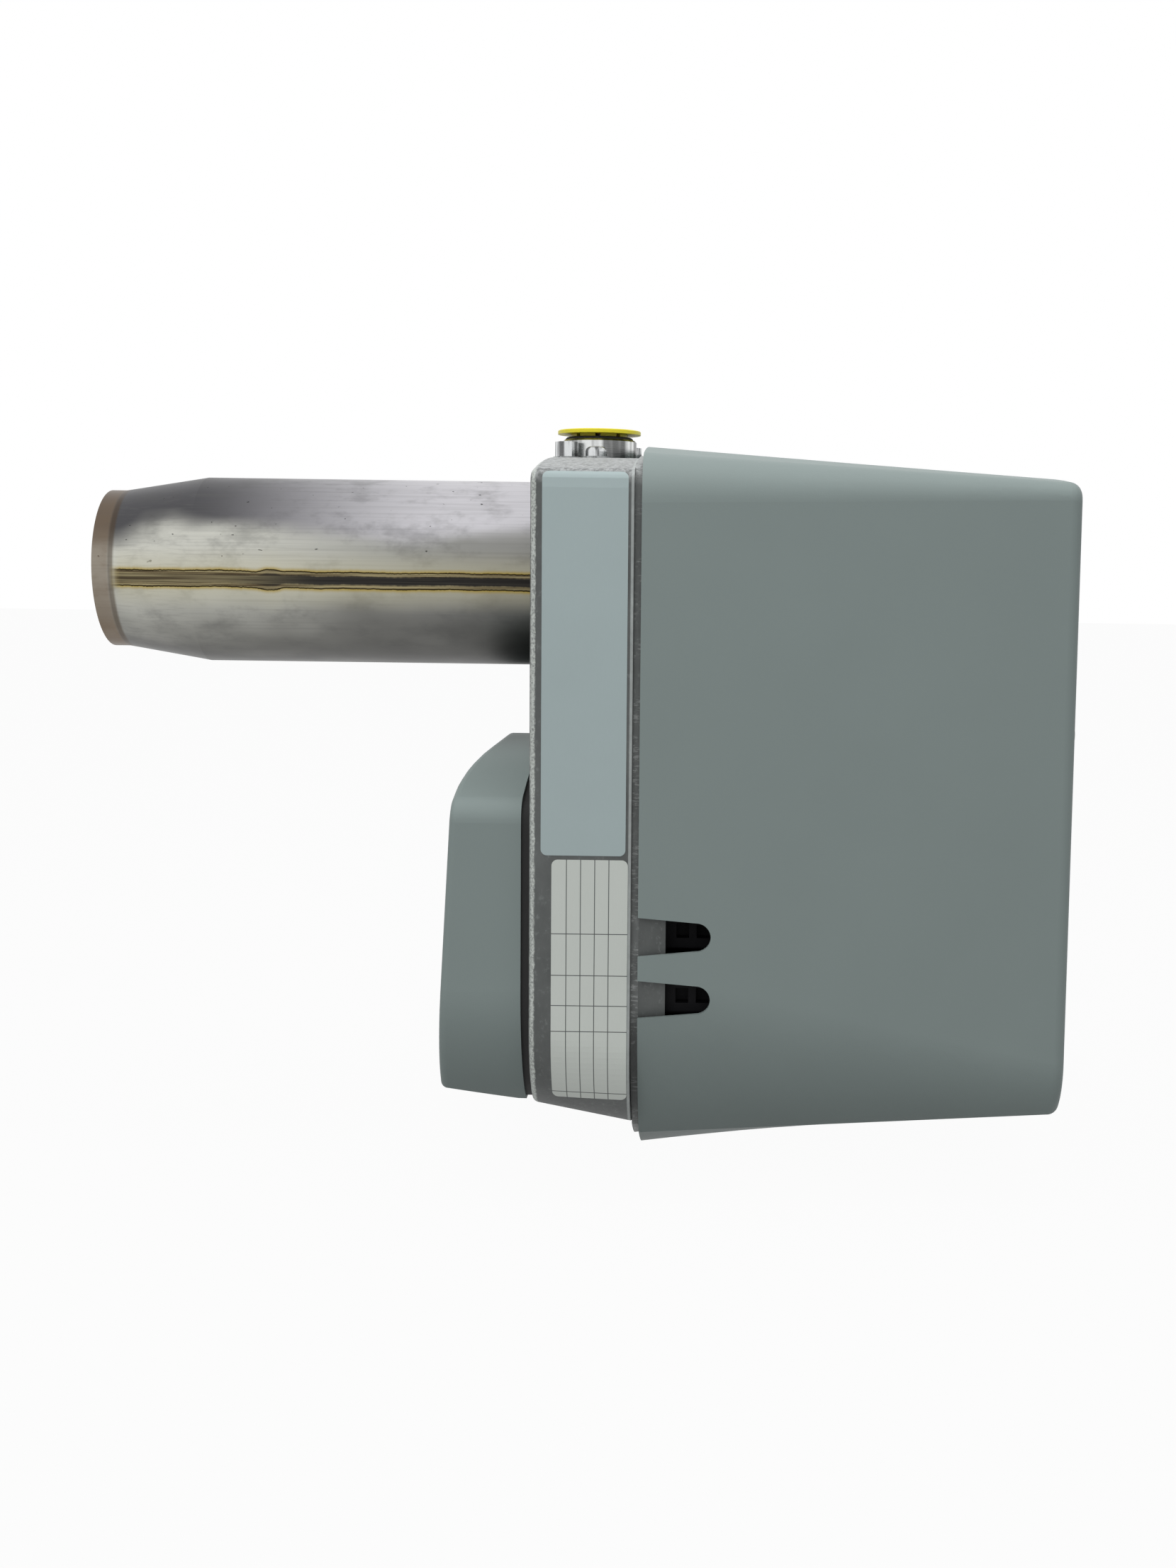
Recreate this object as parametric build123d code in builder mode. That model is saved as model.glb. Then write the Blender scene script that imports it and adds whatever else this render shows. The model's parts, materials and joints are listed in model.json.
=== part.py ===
from build123d import *
import math
import os

os.makedirs("parts", exist_ok=True)

# Compact forced-draught gas burner. Millimetres, +Z up.
# The origin is the blast tube's axis where it meets the housing's front face.
# The blast tube points along -X, the hood is at +X, and the fan turns about a parallel axis below.

# Clearances
running_gap = 0.05
seat_gap = 0.3
press_gap = 0.02

# Blast tube
tube_radius = 40.0
tube_wall = 1.5
tube_length = 151.5
cone_length = 36.0
mouth_radius = 34.0
lip_length = 6.5
tube_flange_radius = 44.8
tube_flange_thickness = 2.0
tube_bolt_circle = 42.2

# Fan axis, below the tube axis
fan_drop = 120.0

# Front casting
casting_depth = 39.5
casting_wall = 4.0
casting_half_width = 121.5
casting_shoulder = 39.0
casting_crest = 49.6
casting_shoulder_radius = 6.0
casting_hip_radius = 40.0
casting_hip_angle = 60.0
casting_front_hip = -175.3
casting_rear_hip = -182.9
casting_front_belly = -219.9
casting_rear_belly = -231.0
casting_round = 3.0

# Hood
hood_front = 42.4
hood_rear = 210.5
hood_wall = 2.8
hood_front_half_width = 123.0
hood_front_shoulder = 44.0
hood_front_crest = 54.2
hood_front_shoulder_radius = 20.0
hood_front_hip = -153.5
hood_front_hip_radius = 96.7
hood_front_hip_angle = 48.0
hood_front_belly = -247.3
hood_rear_half_width = 114.5
hood_rear_shoulder = 36.5
hood_rear_crest = 42.4
hood_rear_shoulder_radius = 7.0
hood_rear_hip = -190.2
hood_rear_hip_radius = 28.0
hood_rear_hip_angle = 50.0
hood_rear_belly = -216.8
hood_rear_round = 5.0
slot_mouth = 15.6
slot_end_radius = 5.7
slot_reach = 28.1
slot_heights = (-139.2, -163.9)

# Back plate, whose collar carries the hood
plate_thickness = 4.0
collar_reach = 53.0
collar_wall = 4.0
collar_gap = 0.8

# Air box
air_box_half_width = 115.5
air_box_shoulder = -89.0
air_box_crest = -71.8
air_box_shoulder_radius = 10.0
air_box_hip = -163.0
air_box_hip_radius = 60.0
air_box_hip_angle = 55.0
air_box_belly = -226.0
air_box_wall = 2.5
air_box_ledge = 17.0
air_box_ledge_rise = 1.0
air_box_brow_depth = 31.0
air_box_brow_drop = 86.0
air_box_toe_depth = 37.4
air_box_toe_drop = 205.8
air_box_heel_drop = 212.8
air_box_round = 3.0
seal_thickness = 3.5
seal_width = 4.5
seal_setback = 1.5

# Intake slots and air flap
intake_rows = 3
intake_pitch = 7.0
intake_slot_height = 4.6
intake_slot_length = 62.0
flap_drop = 118.0
flap_axis_depth = 18.5
flap_chord = 19.2
flap_span = 130.0
flap_thickness = 1.6
flap_shaft_radius = 3.0
flap_hub_radius = 4.6
flap_frame_height = 20.0
flap_frame_wall = 2.2
flap_frame_end = 9.0
bush_wall = 2.0
knob_radius = 12.0
knob_height = 11.0

# Fan and motor
fan_radius = 64.0
fan_eye_radius = 51.0
fan_front = 10.5
fan_width = 24.0
fan_disc_thickness = 1.6
fan_blades = 36
blade_thickness = 1.1
fan_hub_radius = 13.0
fan_hub_length = 16.0
scroll_start = 69.0
scroll_growth = 26.0
scroll_wall = 3.0
inlet_radius = 40.0
inlet_throat = 35.5
inlet_flange = 1.5
shaft_radius = 6.0
motor_radius = 45.0
motor_length = 96.0
motor_wall = 3.5
motor_fins = 28
motor_fin_height = 3.2
motor_fin_thickness = 1.8
rotor_radius = 23.0
stator_bore = 23.5
stator_length = 54.0
bearing_radius = 14.0
bearing_width = 9.0
motor_bolt_circle = 37.0

# Gas port and gas line
port_x = 19.0
spigot_radius = 16.3
spigot_bore = 12.6
spigot_top = 58.3
pad_radius = 18.0
pad_height = 50.0
ring_cord = 1.2
ring_radius = 13.6
cap_radius = 18.1
cap_thickness = 1.7
cap_height = 60.7
cap_skirt_radius = 12.3
cap_skirt_depth = 9.0
cap_fingers = 8
port_screw_x = 13.0
port_screw_y = 17.2
port_screw_flats = 8.6
screw_pad_radius = 5.8
drop_pipe_radius = 12.4
drop_pipe_bore = 10.0
port_screw_head = 5.2
washer_thickness = 1.2
plug_screw_y = -22.0
plug_screw_radius = 4.6
plug_screw_height = 4.2
pipe_radius = 11.0
pipe_wall = 1.6
pipe_front = -140.0
pipe_rear = 33.0
sleeve_front = -2.0
sleeve_rear = 32.0
sleeve_radius = 16.0

# Mixing head
head_travel = 12.0
gas_inlet_length = head_travel + 2.0
gas_inlet_width = 9.0
nozzle_length = 20.0
nozzle_radius = 14.0
nozzle_holes = 12
disc_radius = 31.0
disc_x = -154.0
disc_thickness = 1.2
disc_vanes = 12
electrode_offset = 21.0
ceramic_radius = 3.5
electrode_wire = 1.2
electrode_angles = (35.0, 145.0, 270.0)
electrode_tip = 0.72
ceramic_length = 62.0
bracket_x = -112.0
rod_radius = 4.0
rod_rear = 76.0

# Electrical parts under the hood
control_y = -62.0
control_z = -10.0
control_width = 62.0
control_height = 70.0
control_base_reach = 98.0
button_radius = 6.5
button_proud = 4.0
button_travel = 3.0
guide_length = 16.0
guide_gap = 1.7
guide_wall = 3.0
transformer_y = 66.0
transformer_z = -16.0
transformer_length = 72.0
transformer_width = 62.0
transformer_height = 56.0
tower_radius = 6.0
tower_length = 14.0
switch_setback = 43.0
switch_z = -88.0
switch_radius = 26.0
switch_base_length = 16.0
switch_body_length = 30.0
switch_body_inset = 4.0
switch_cover_length = 26.0
switch_cover_wall = 1.6
dial_radius = 13.0
dial_shaft_radius = 3.0
dial_shaft_length = 8.0
dial_thickness = 5.0
dial_notches = 24
dial_notch_radius = 0.5
dial_pointer_length = 4.0
dial_pointer_width = 1.6
lead_radius = 3.0
capacitor_y = -74.0
capacitor_z = -98.0
capacitor_radius = 15.0
capacitor_length = 58.0
capacitor_stand = 6.0
clip_wall = 1.5
clip_width = 12.0
clip_reach = 20.0
socket_width = 20.0
socket_height = 15.0
socket_length = 36.0
socket_setbacks = (27.0, 21.0)
socket_latch_rise = 16.0
socket_latch_pitch = 8.0
stud_setback = 20.0
stud_z = -60.0
stud_radius = 4.0

# Openings of the back plate
rod_bush_radius = 8.0
sight_y = 22.0
sight_z = 24.0
sight_radius = 9.0
lead_y = 22.0
lead_z = -30.0
lead_pitch = 14.0
grommet_radius = 4.5
tapping_radius = 3.0
tapping_reach = 3.0
brow_bulge = 3.5

# Screws
screw_radius = 2.5
screw_boss_radius = 7.0
screw_boss_length = 24.0
screw_seat = 3.0
screw_head_radius = 4.5
screw_head_height = 3.2
plate_screw_setback = 16.0
tube_screw_radius = 1.4
tube_screw_head = 2.4

port_screw_places = (
    (port_x - port_screw_x, -port_screw_y),
    (port_x + port_screw_x, port_screw_y),
)
plate_front = casting_depth
plate_rear = casting_depth + plate_thickness
fan_rear = fan_front + fan_width
air_box_screw_places = ((-98.0, -104.0), (98.0, -104.0), (-82.0, -195.0), (82.0, -195.0))
plate_screw_y = hood_front_half_width - plate_screw_setback
plate_screw_places = (
    (-plate_screw_y, 22.0), (plate_screw_y, 22.0),
    (-plate_screw_y, -95.0), (plate_screw_y, -130.0),
    (-62.0, -205.0), (62.0, -205.0),
)
stud_y = hood_front_half_width - stud_setback
switch_y = hood_front_half_width - switch_setback
guide_reach = hood_rear - hood_wall - guide_gap
dial_seat = casting_depth + plate_thickness + switch_body_length
control_box_reach = guide_reach - guide_length


def axis_plane(x, y=0.0, z=0.0):
    """Work plane across the X direction, with its own x along +Y and its own y along +Z."""
    return Plane(origin=(x, y, z), x_dir=(0, 1, 0), z_dir=(1, 0, 0))


def fan_plane(x):
    """Work plane centred on the fan axis."""
    return axis_plane(x, 0.0, -fan_drop)


def finish(piece, name):
    """Label a finished sub-part and write it."""
    piece.part.label = name
    export_step(piece.part, f"parts/{name}.step")


def body_section(x, half_width, shoulder, crest, shoulder_radius, hip, hip_radius, hip_angle, belly, inset=0.0):
    """Cross-section of the burner's body: crowned top, upright sides, round hips and a belly."""
    width = half_width - inset
    radius = hip_radius - inset
    swing = math.radians(hip_angle)
    keel_y = width - radius * (1 - math.cos(swing))
    keel_z = hip - radius * math.sin(swing)
    with BuildSketch(axis_plane(x)) as outline:
        with BuildLine():
            Line((-width, shoulder - inset), (-width, hip))
            CenterArc((radius - width, hip), radius, 180, hip_angle)
            ThreePointArc((-keel_y, keel_z), (0, belly + inset), (keel_y, keel_z))
            CenterArc((width - radius, hip), radius, -hip_angle, hip_angle)
            Line((width, hip), (width, shoulder - inset))
            ThreePointArc((width, shoulder - inset), (0, crest - inset), (-width, shoulder - inset))
        make_face()
        corners = outline.vertices().group_by(Axis.Y)[-1]
        fillet(corners, max(shoulder_radius - inset, 1.0))
    return outline.sketch


def casting_section(x, hip, belly, inset=0.0):
    """Section of the front casting at one station."""
    return body_section(
        x, casting_half_width, casting_shoulder, casting_crest, casting_shoulder_radius,
        hip, casting_hip_radius, casting_hip_angle, belly, inset,
    )


def hood_front_section(inset=0.0, x=hood_front):
    """Section of the hood's open front rim."""
    return body_section(
        x, hood_front_half_width, hood_front_shoulder, hood_front_crest, hood_front_shoulder_radius,
        hood_front_hip, hood_front_hip_radius, hood_front_hip_angle, hood_front_belly, inset,
    )


def hood_rear_section(inset=0.0):
    """Section of the hood's closed rear end."""
    return body_section(
        hood_rear - inset, hood_rear_half_width, hood_rear_shoulder, hood_rear_crest,
        hood_rear_shoulder_radius, hood_rear_hip, hood_rear_hip_radius, hood_rear_hip_angle,
        hood_rear_belly, inset,
    )


# ---------------------------------------------------------------- front casting and back plate
scroll_turn = 300.0
scroll_from = 60.0


def scroll_point(turn, extra=0.0):
    """Point of the scroll wall after so many degrees, in the fan's own plane."""
    radius = scroll_start + scroll_growth * turn / scroll_turn + extra
    angle = math.radians(scroll_from + turn)
    return (radius * math.cos(angle), radius * math.sin(angle))


with BuildPart() as fan_housing:
    loft(
        sections=[
            casting_section(0.0, casting_front_hip, casting_front_belly),
            casting_section(casting_depth, casting_rear_hip, casting_rear_belly),
        ],
        ruled=True,
    )
    fillet(fan_housing.faces().sort_by(Axis.X)[0].edges(), radius=casting_round)
    loft(
        sections=[
            casting_section(casting_wall, casting_front_hip, casting_front_belly, casting_wall),
            casting_section(casting_depth, casting_rear_hip, casting_rear_belly, casting_wall),
        ],
        ruled=True,
        mode=Mode.SUBTRACT,
    )
    # Scroll wall around the fan, growing towards the outlet at the far side
    with BuildSketch(fan_plane(casting_wall)):
        with BuildLine():
            scroll_steps = 4
            for step in range(scroll_steps):
                begin = scroll_turn * step / scroll_steps
                end = scroll_turn * (step + 1) / scroll_steps
                ThreePointArc(scroll_point(begin), scroll_point((begin + end) / 2), scroll_point(end))
                ThreePointArc(
                    scroll_point(begin, scroll_wall),
                    scroll_point((begin + end) / 2, scroll_wall),
                    scroll_point(end, scroll_wall),
                )
            Line(scroll_point(0.0), scroll_point(0.0, scroll_wall))
            Line(scroll_point(scroll_turn), scroll_point(scroll_turn, scroll_wall))
        make_face()
    extrude(amount=casting_depth - casting_wall)
    # Flat pad of the gas port on the crown
    with BuildSketch(Plane.XY.offset(casting_crest - casting_wall)):
        with Locations((port_x, 0)):
            Circle(pad_radius)
        with Locations(*port_screw_places, (port_x, plug_screw_y)):
            Circle(screw_pad_radius)
    extrude(amount=casting_wall + pad_height - casting_crest)
    # Openings: gas spigot, blast tube neck, fan inlet
    with BuildSketch(Plane.XY.offset(pad_height + 1.0)):
        with Locations((port_x, 0)):
            Circle(spigot_radius)
    extrude(amount=-2.0 * casting_wall, mode=Mode.SUBTRACT)
    with BuildSketch(axis_plane(-1.0)):
        Circle(tube_radius - tube_wall / 2 + press_gap)
    extrude(amount=casting_wall + 2.0, mode=Mode.SUBTRACT)
    with BuildSketch(fan_plane(-1.0)):
        Circle(inlet_radius)
    extrude(amount=casting_wall + 2.0, mode=Mode.SUBTRACT)
finish(fan_housing, "fan_housing")

with BuildPart() as hood:
    loft(sections=[hood_front_section(), hood_rear_section()], ruled=True)
    fillet(hood.faces().sort_by(Axis.X)[-1].edges(), radius=hood_rear_round)
    loft(sections=[hood_front_section(hood_wall), hood_rear_section(hood_wall)], ruled=True, mode=Mode.SUBTRACT)
    with BuildSketch(Plane.XZ.offset(hood_front_half_width + 2.0)):
        for height in slot_heights:
            arc_x = hood_front + slot_reach - slot_end_radius
            with BuildLine():
                Line((arc_x, height + slot_end_radius), (hood_front - 1.0, height + slot_mouth / 2))
                Line((hood_front - 1.0, height + slot_mouth / 2), (hood_front - 1.0, height - slot_mouth / 2))
                Line((hood_front - 1.0, height - slot_mouth / 2), (arc_x, height - slot_end_radius))
                CenterArc((arc_x, height), slot_end_radius, -90, 180)
            make_face()
    extrude(amount=-20.0, mode=Mode.SUBTRACT)
    with BuildSketch(axis_plane(hood_rear - hood_wall - 1.0)):
        with Locations((control_y, control_z)):
            Circle(button_radius + seat_gap)
        with Locations((-stud_y, stud_z), (stud_y, stud_z)):
            Circle(screw_radius + running_gap)
    extrude(amount=hood_wall + 2.0, mode=Mode.SUBTRACT)
finish(hood, "hood")

with BuildPart() as housing_back_plate:
    # Plate across the casting, with a collar that follows the inside of the hood
    collar_inset = hood_wall + collar_gap
    loft(sections=[hood_front_section(collar_inset, plate_front), hood_rear_section(collar_inset)], ruled=True)
    inner_inset = collar_inset + collar_wall
    loft(
        sections=[hood_front_section(inner_inset, plate_rear), hood_rear_section(inner_inset)],
        ruled=True,
        mode=Mode.SUBTRACT,
    )
    split(bisect_by=axis_plane(collar_reach), keep=Keep.BOTTOM)
    with BuildSketch(axis_plane(plate_front - 1.0)):
        with Locations((0, -fan_drop)):
            Circle(bearing_radius + 3.0)
        Circle(rod_bush_radius)
        with Locations((sight_y, sight_z)):
            Circle(sight_radius)
        with Locations((lead_y, lead_z), (lead_y, lead_z - lead_pitch)):
            Circle(grommet_radius)
        with Locations((switch_y, switch_z)):
            Circle(tapping_radius)
    extrude(amount=plate_thickness + 2.0, mode=Mode.SUBTRACT)
finish(housing_back_plate, "housing_back_plate")

with BuildPart() as plate_screws:
    for y, z in plate_screw_places:
        with BuildSketch(axis_plane(plate_rear, y, z)):
            Circle(screw_head_radius)
        extrude(amount=screw_head_height)
finish(plate_screws, "plate_screws")

# ---------------------------------------------------------------- blast tube
tube_inner = tube_radius - tube_wall
mouth_inner = mouth_radius - tube_wall
neck_radius = tube_radius - tube_wall / 2
cone_front = -tube_length - cone_length
tube_front = cone_front - lip_length

with BuildPart() as blast_tube:
    with BuildSketch(Plane.XZ):
        with BuildLine():
            Polyline(
                (0.0, tube_radius),
                (-tube_length, tube_radius),
                (cone_front, mouth_radius),
                (tube_front, mouth_radius),
                (tube_front, mouth_inner),
                (cone_front, mouth_inner),
                (-tube_length, tube_inner),
                (casting_wall + tube_flange_thickness, tube_inner),
                (casting_wall + tube_flange_thickness, tube_flange_radius),
                (casting_wall, tube_flange_radius),
                (casting_wall, neck_radius),
                (0.0, neck_radius),
                close=True,
            )
        make_face()
    revolve(axis=Axis.X)
    with BuildSketch(axis_plane(casting_wall)):
        with PolarLocations(tube_bolt_circle, 4, start_angle=45):
            Circle(tube_screw_radius + running_gap)
    extrude(amount=tube_flange_thickness, mode=Mode.SUBTRACT)
finish(blast_tube, "blast_tube")

with BuildPart() as tube_screws:
    with BuildSketch(axis_plane(casting_wall)):
        with PolarLocations(tube_bolt_circle, 4, start_angle=45):
            Circle(tube_screw_radius)
    extrude(amount=tube_flange_thickness)
    with BuildSketch(axis_plane(casting_wall + tube_flange_thickness)):
        with PolarLocations(tube_bolt_circle, 4, start_angle=45):
            Circle(tube_screw_head)
    extrude(amount=tube_screw_radius)
finish(tube_screws, "tube_screws")

# ---------------------------------------------------------------- air box
air_box_rear = -seal_thickness


def air_box_outline(inset=0.0):
    """Side profile of the air box: open top, rounded brow, leaning front and sloping floor."""
    brow_x = inset - air_box_brow_depth
    toe_x = inset - air_box_toe_depth
    ledge_z = air_box_crest + air_box_ledge_rise - inset
    rear_x = air_box_rear if inset == 0.0 else 0.0
    with BuildSketch(Plane.XZ) as outline:
        with BuildLine():
            Line((rear_x, ledge_z), (-air_box_ledge, ledge_z))
            middle = (
                (-air_box_ledge + brow_x) / 2 - brow_bulge * 0.5,
                (ledge_z - air_box_brow_drop) / 2 + brow_bulge * 0.8,
            )
            ThreePointArc((-air_box_ledge, ledge_z), middle, (brow_x, -air_box_brow_drop))
            Line((brow_x, -air_box_brow_drop), (toe_x, -air_box_toe_drop + inset))
            Line((toe_x, -air_box_toe_drop + inset), (rear_x, -air_box_heel_drop + inset))
            Line((rear_x, -air_box_heel_drop + inset), (rear_x, ledge_z))
        make_face()
    return outline.sketch


def air_box_section(inset=0.0, x=-air_box_toe_depth - 5.0):
    """Cross-section of the air box, shared with its seal."""
    return body_section(
        x, air_box_half_width, air_box_shoulder, air_box_crest, air_box_shoulder_radius,
        air_box_hip, air_box_hip_radius, air_box_hip_angle, air_box_belly, inset,
    )


def air_box_slice(inset):
    """Solid slice of the air box's rim outline, as thick as the seal."""
    heel = inset - air_box_heel_drop
    top = air_box_crest + air_box_ledge_rise - inset
    with BuildPart() as band:
        extrude(to_extrude=air_box_section(inset, air_box_rear), amount=seal_thickness)
        with BuildSketch(Plane.XZ):
            with Locations((air_box_rear / 2, (heel + top) / 2)):
                Rectangle(seal_thickness, top - heel)
        extrude(amount=air_box_half_width, both=True, mode=Mode.INTERSECT)
    return band.part


def front_wall_x(z):
    """Middle of the air box's leaning front wall at a height."""
    lean = (air_box_toe_depth - air_box_brow_depth) / (air_box_toe_drop - air_box_brow_drop)
    return air_box_wall / 2 - air_box_brow_depth + lean * (z + air_box_brow_drop)


with BuildPart() as air_box_core:
    extrude(to_extrude=air_box_section(air_box_wall), amount=air_box_toe_depth + 5.0)
    extrude(
        to_extrude=air_box_outline(air_box_wall),
        amount=air_box_half_width + 1.0,
        both=True,
        mode=Mode.INTERSECT,
    )

with BuildPart() as air_box:
    extrude(to_extrude=air_box_section(), amount=air_box_toe_depth + 5.0 + air_box_rear)
    extrude(to_extrude=air_box_outline(), amount=air_box_half_width + 1.0, both=True, mode=Mode.INTERSECT)
    fillet(air_box.faces().filter_by(GeomType.PLANE).sort_by(Axis.X)[0].edges(), radius=air_box_round)
    add(air_box_core.part, mode=Mode.SUBTRACT)
    # Duct that frames the flap, open to the intake slots
    with BuildSketch(axis_plane(-flap_frame_end, 0.0, -flap_drop)):
        Rectangle(flap_span + 2 * flap_frame_wall + 1.0, flap_frame_height + 2 * flap_frame_wall)
        Rectangle(flap_span + 1.0, flap_frame_height, mode=Mode.SUBTRACT)
    extrude(amount=flap_frame_end - air_box_brow_depth)
    # Bosses that take the fixing screws through to the casting
    for y, z in air_box_screw_places:
        with BuildSketch(axis_plane(front_wall_x(z), y, z)):
            Circle(screw_boss_radius)
        extrude(amount=air_box_rear - front_wall_x(z))
    for y, z in air_box_screw_places:
        with BuildSketch(axis_plane(air_box_rear, y, z)):
            Circle(screw_radius + running_gap)
        extrude(amount=-screw_boss_length, mode=Mode.SUBTRACT)
        with BuildSketch(axis_plane(air_box_rear - screw_boss_length + screw_seat, y, z)):
            Circle(screw_head_radius + seat_gap)
        extrude(amount=-air_box_toe_depth, mode=Mode.SUBTRACT)
    # Intake slots in two columns
    with BuildSketch(axis_plane(-air_box_toe_depth - 1.0, 0.0, -flap_drop)):
        with GridLocations(intake_slot_length + 4.0, intake_pitch, 2, intake_rows):
            SlotOverall(intake_slot_length, intake_slot_height)
    extrude(amount=air_box_toe_depth + 1.0 - flap_axis_depth - flap_chord / 2 - 1.0, mode=Mode.SUBTRACT)
    # Bores for the flap's bushes, through both duct ends and the far side wall
    with BuildSketch(Plane.XZ.offset(flap_span / 2 + flap_frame_wall + 2.0)):
        with Locations((-flap_axis_depth, -flap_drop)):
            Circle(flap_shaft_radius + running_gap + bush_wall)
    extrude(amount=-flap_span - air_box_half_width, mode=Mode.SUBTRACT)
finish(air_box, "air_box")

with BuildPart() as air_box_seal:
    add(air_box_slice(seal_setback))
    add(air_box_slice(seal_setback + seal_width), mode=Mode.SUBTRACT)
finish(air_box_seal, "air_box_seal")

with BuildPart() as air_box_screws:
    for y, z in air_box_screw_places:
        seat = air_box_rear - screw_boss_length + screw_seat
        with BuildSketch(axis_plane(seat, y, z)):
            Circle(screw_head_radius)
            RegularPolygon(screw_radius * 0.8, 6, mode=Mode.SUBTRACT)
        extrude(amount=-screw_head_height)
        with BuildSketch(axis_plane(seat, y, z)):
            Circle(screw_radius)
        extrude(amount=-seat)
finish(air_box_screws, "air_box_screws")

# ---------------------------------------------------------------- air flap
flap_end = flap_span / 2 + 0.5
side_wall_inner = air_box_half_width - air_box_wall
knob_seat = air_box_half_width + seat_gap


def flap_plane(y):
    """Work plane across the flap's shaft, looking along +Y."""
    return Plane(origin=(-flap_axis_depth, y, -flap_drop), x_dir=(-1, 0, 0), z_dir=(0, 1, 0))


with BuildPart() as air_flap:
    with BuildSketch(flap_plane(-flap_span / 2 + seat_gap)):
        Rectangle(flap_thickness, flap_chord)
        Circle(flap_hub_radius)
        Circle(flap_shaft_radius + running_gap, mode=Mode.SUBTRACT)
    extrude(amount=flap_span - 2 * seat_gap)
finish(air_flap, "air_flap")

with BuildPart() as flap_shaft:
    with BuildSketch(flap_plane(-flap_end - flap_frame_wall)):
        Circle(flap_shaft_radius)
    extrude(amount=flap_end + flap_frame_wall + knob_seat + knob_height - 3.0)
finish(flap_shaft, "flap_shaft")

with BuildPart() as flap_bushes:
    for y, length in (
        (-flap_end - flap_frame_wall, flap_frame_wall),
        (flap_end, flap_frame_wall),
        (side_wall_inner - 2.0, air_box_wall + 2.0),
    ):
        with BuildSketch(flap_plane(y)):
            Circle(flap_shaft_radius + running_gap + bush_wall)
            Circle(flap_shaft_radius + running_gap, mode=Mode.SUBTRACT)
        extrude(amount=length)
finish(flap_bushes, "flap_bushes")

with BuildPart() as flap_knob:
    with BuildSketch(flap_plane(knob_seat)):
        Circle(knob_radius)
        with PolarLocations(knob_radius, 12, start_angle=15):
            Circle(knob_radius * 0.12, mode=Mode.SUBTRACT)
    extrude(amount=knob_height * 0.6)
    with BuildSketch(flap_plane(knob_seat)):
        with Locations((0, knob_radius)):
            Triangle(a=7.0, b=7.0, C=60.0)
    extrude(amount=knob_height * 0.3)
    with BuildSketch(flap_plane(knob_seat + knob_height * 0.6)):
        Circle(knob_radius * 0.7)
    extrude(amount=knob_height * 0.4)
    with BuildSketch(flap_plane(knob_seat)):
        Circle(flap_shaft_radius + running_gap)
    extrude(amount=knob_height - 3.0, mode=Mode.SUBTRACT)
finish(flap_knob, "flap_knob")

# ---------------------------------------------------------------- fan
with BuildPart() as inlet_ring:
    with BuildSketch(Plane.XZ):
        with BuildLine():
            Polyline(
                (-1.2, -fan_drop + inlet_radius + inlet_flange),
                (0.0, -fan_drop + inlet_radius + inlet_flange),
                (0.0, -fan_drop + inlet_radius - press_gap),
                (casting_wall, -fan_drop + inlet_radius - press_gap),
                (fan_front + 3.0, -fan_drop + inlet_throat + 1.5),
                (fan_front + 3.0, -fan_drop + inlet_throat),
                (casting_wall, -fan_drop + inlet_radius - 2.5),
                (-1.2, -fan_drop + inlet_radius),
                close=True,
            )
        make_face()
    revolve(axis=Axis((0, 0, -fan_drop), (1, 0, 0)))
finish(inlet_ring, "inlet_ring")


def fan_blade():
    """One forward-curved blade between the eye and the rim, in the fan's own plane."""
    inner = fan_eye_radius + 0.5
    outer = fan_radius - 0.5
    sweep = math.radians(9.0)
    bow = (inner + outer) / 2
    tip_x = outer * math.cos(sweep)
    tip_y = outer * math.sin(sweep)
    with BuildSketch() as blade:
        with BuildLine():
            ThreePointArc((inner, 0.0), (bow, outer * math.sin(sweep) * 0.12), (tip_x, tip_y))
            ThreePointArc(
                (inner, blade_thickness),
                (bow - blade_thickness * 0.2, tip_y * 0.12 + blade_thickness),
                (tip_x - blade_thickness * 0.6, tip_y + blade_thickness * 0.8),
            )
            Line((inner, 0.0), (inner, blade_thickness))
            Line((tip_x, tip_y), (tip_x - blade_thickness * 0.6, tip_y + blade_thickness * 0.8))
        make_face()
    return blade.sketch


with BuildPart() as fan_wheel:
    with BuildSketch(fan_plane(fan_rear - fan_disc_thickness)):
        Circle(fan_radius)
        Circle(shaft_radius, mode=Mode.SUBTRACT)
    extrude(amount=fan_disc_thickness)
    with BuildSketch(fan_plane(fan_front)):
        Circle(fan_radius)
        Circle(fan_eye_radius, mode=Mode.SUBTRACT)
    extrude(amount=fan_disc_thickness)
    one_blade = fan_blade()
    with BuildSketch(fan_plane(fan_front)):
        with PolarLocations(0, fan_blades):
            add(one_blade)
    extrude(amount=fan_width)
    with BuildSketch(fan_plane(fan_rear - fan_hub_length)):
        Circle(fan_hub_radius)
        Circle(shaft_radius, mode=Mode.SUBTRACT)
    extrude(amount=fan_hub_length - fan_disc_thickness)
finish(fan_wheel, "fan_wheel")

motor_front = plate_rear
motor_rear = motor_front + motor_length
shaft_front = fan_rear - fan_hub_length - 4.0
front_bearing = motor_front + 2.0
rear_bearing = motor_rear - bearing_width - 2.0
stator_front = (motor_front + motor_rear - stator_length) / 2

with BuildPart() as motor_shaft:
    with BuildSketch(fan_plane(shaft_front)):
        Circle(shaft_radius)
    extrude(amount=motor_rear - shaft_front - 3.0)
    chamfer(motor_shaft.faces().sort_by(Axis.X)[0].edges(), length=0.8)
finish(motor_shaft, "motor_shaft")

with BuildPart() as fan_nut:
    with BuildSketch(fan_plane(shaft_front)):
        RegularPolygon(fan_hub_radius * 0.75, 6)
        Circle(shaft_radius, mode=Mode.SUBTRACT)
    extrude(amount=4.0)
finish(fan_nut, "fan_nut")

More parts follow.
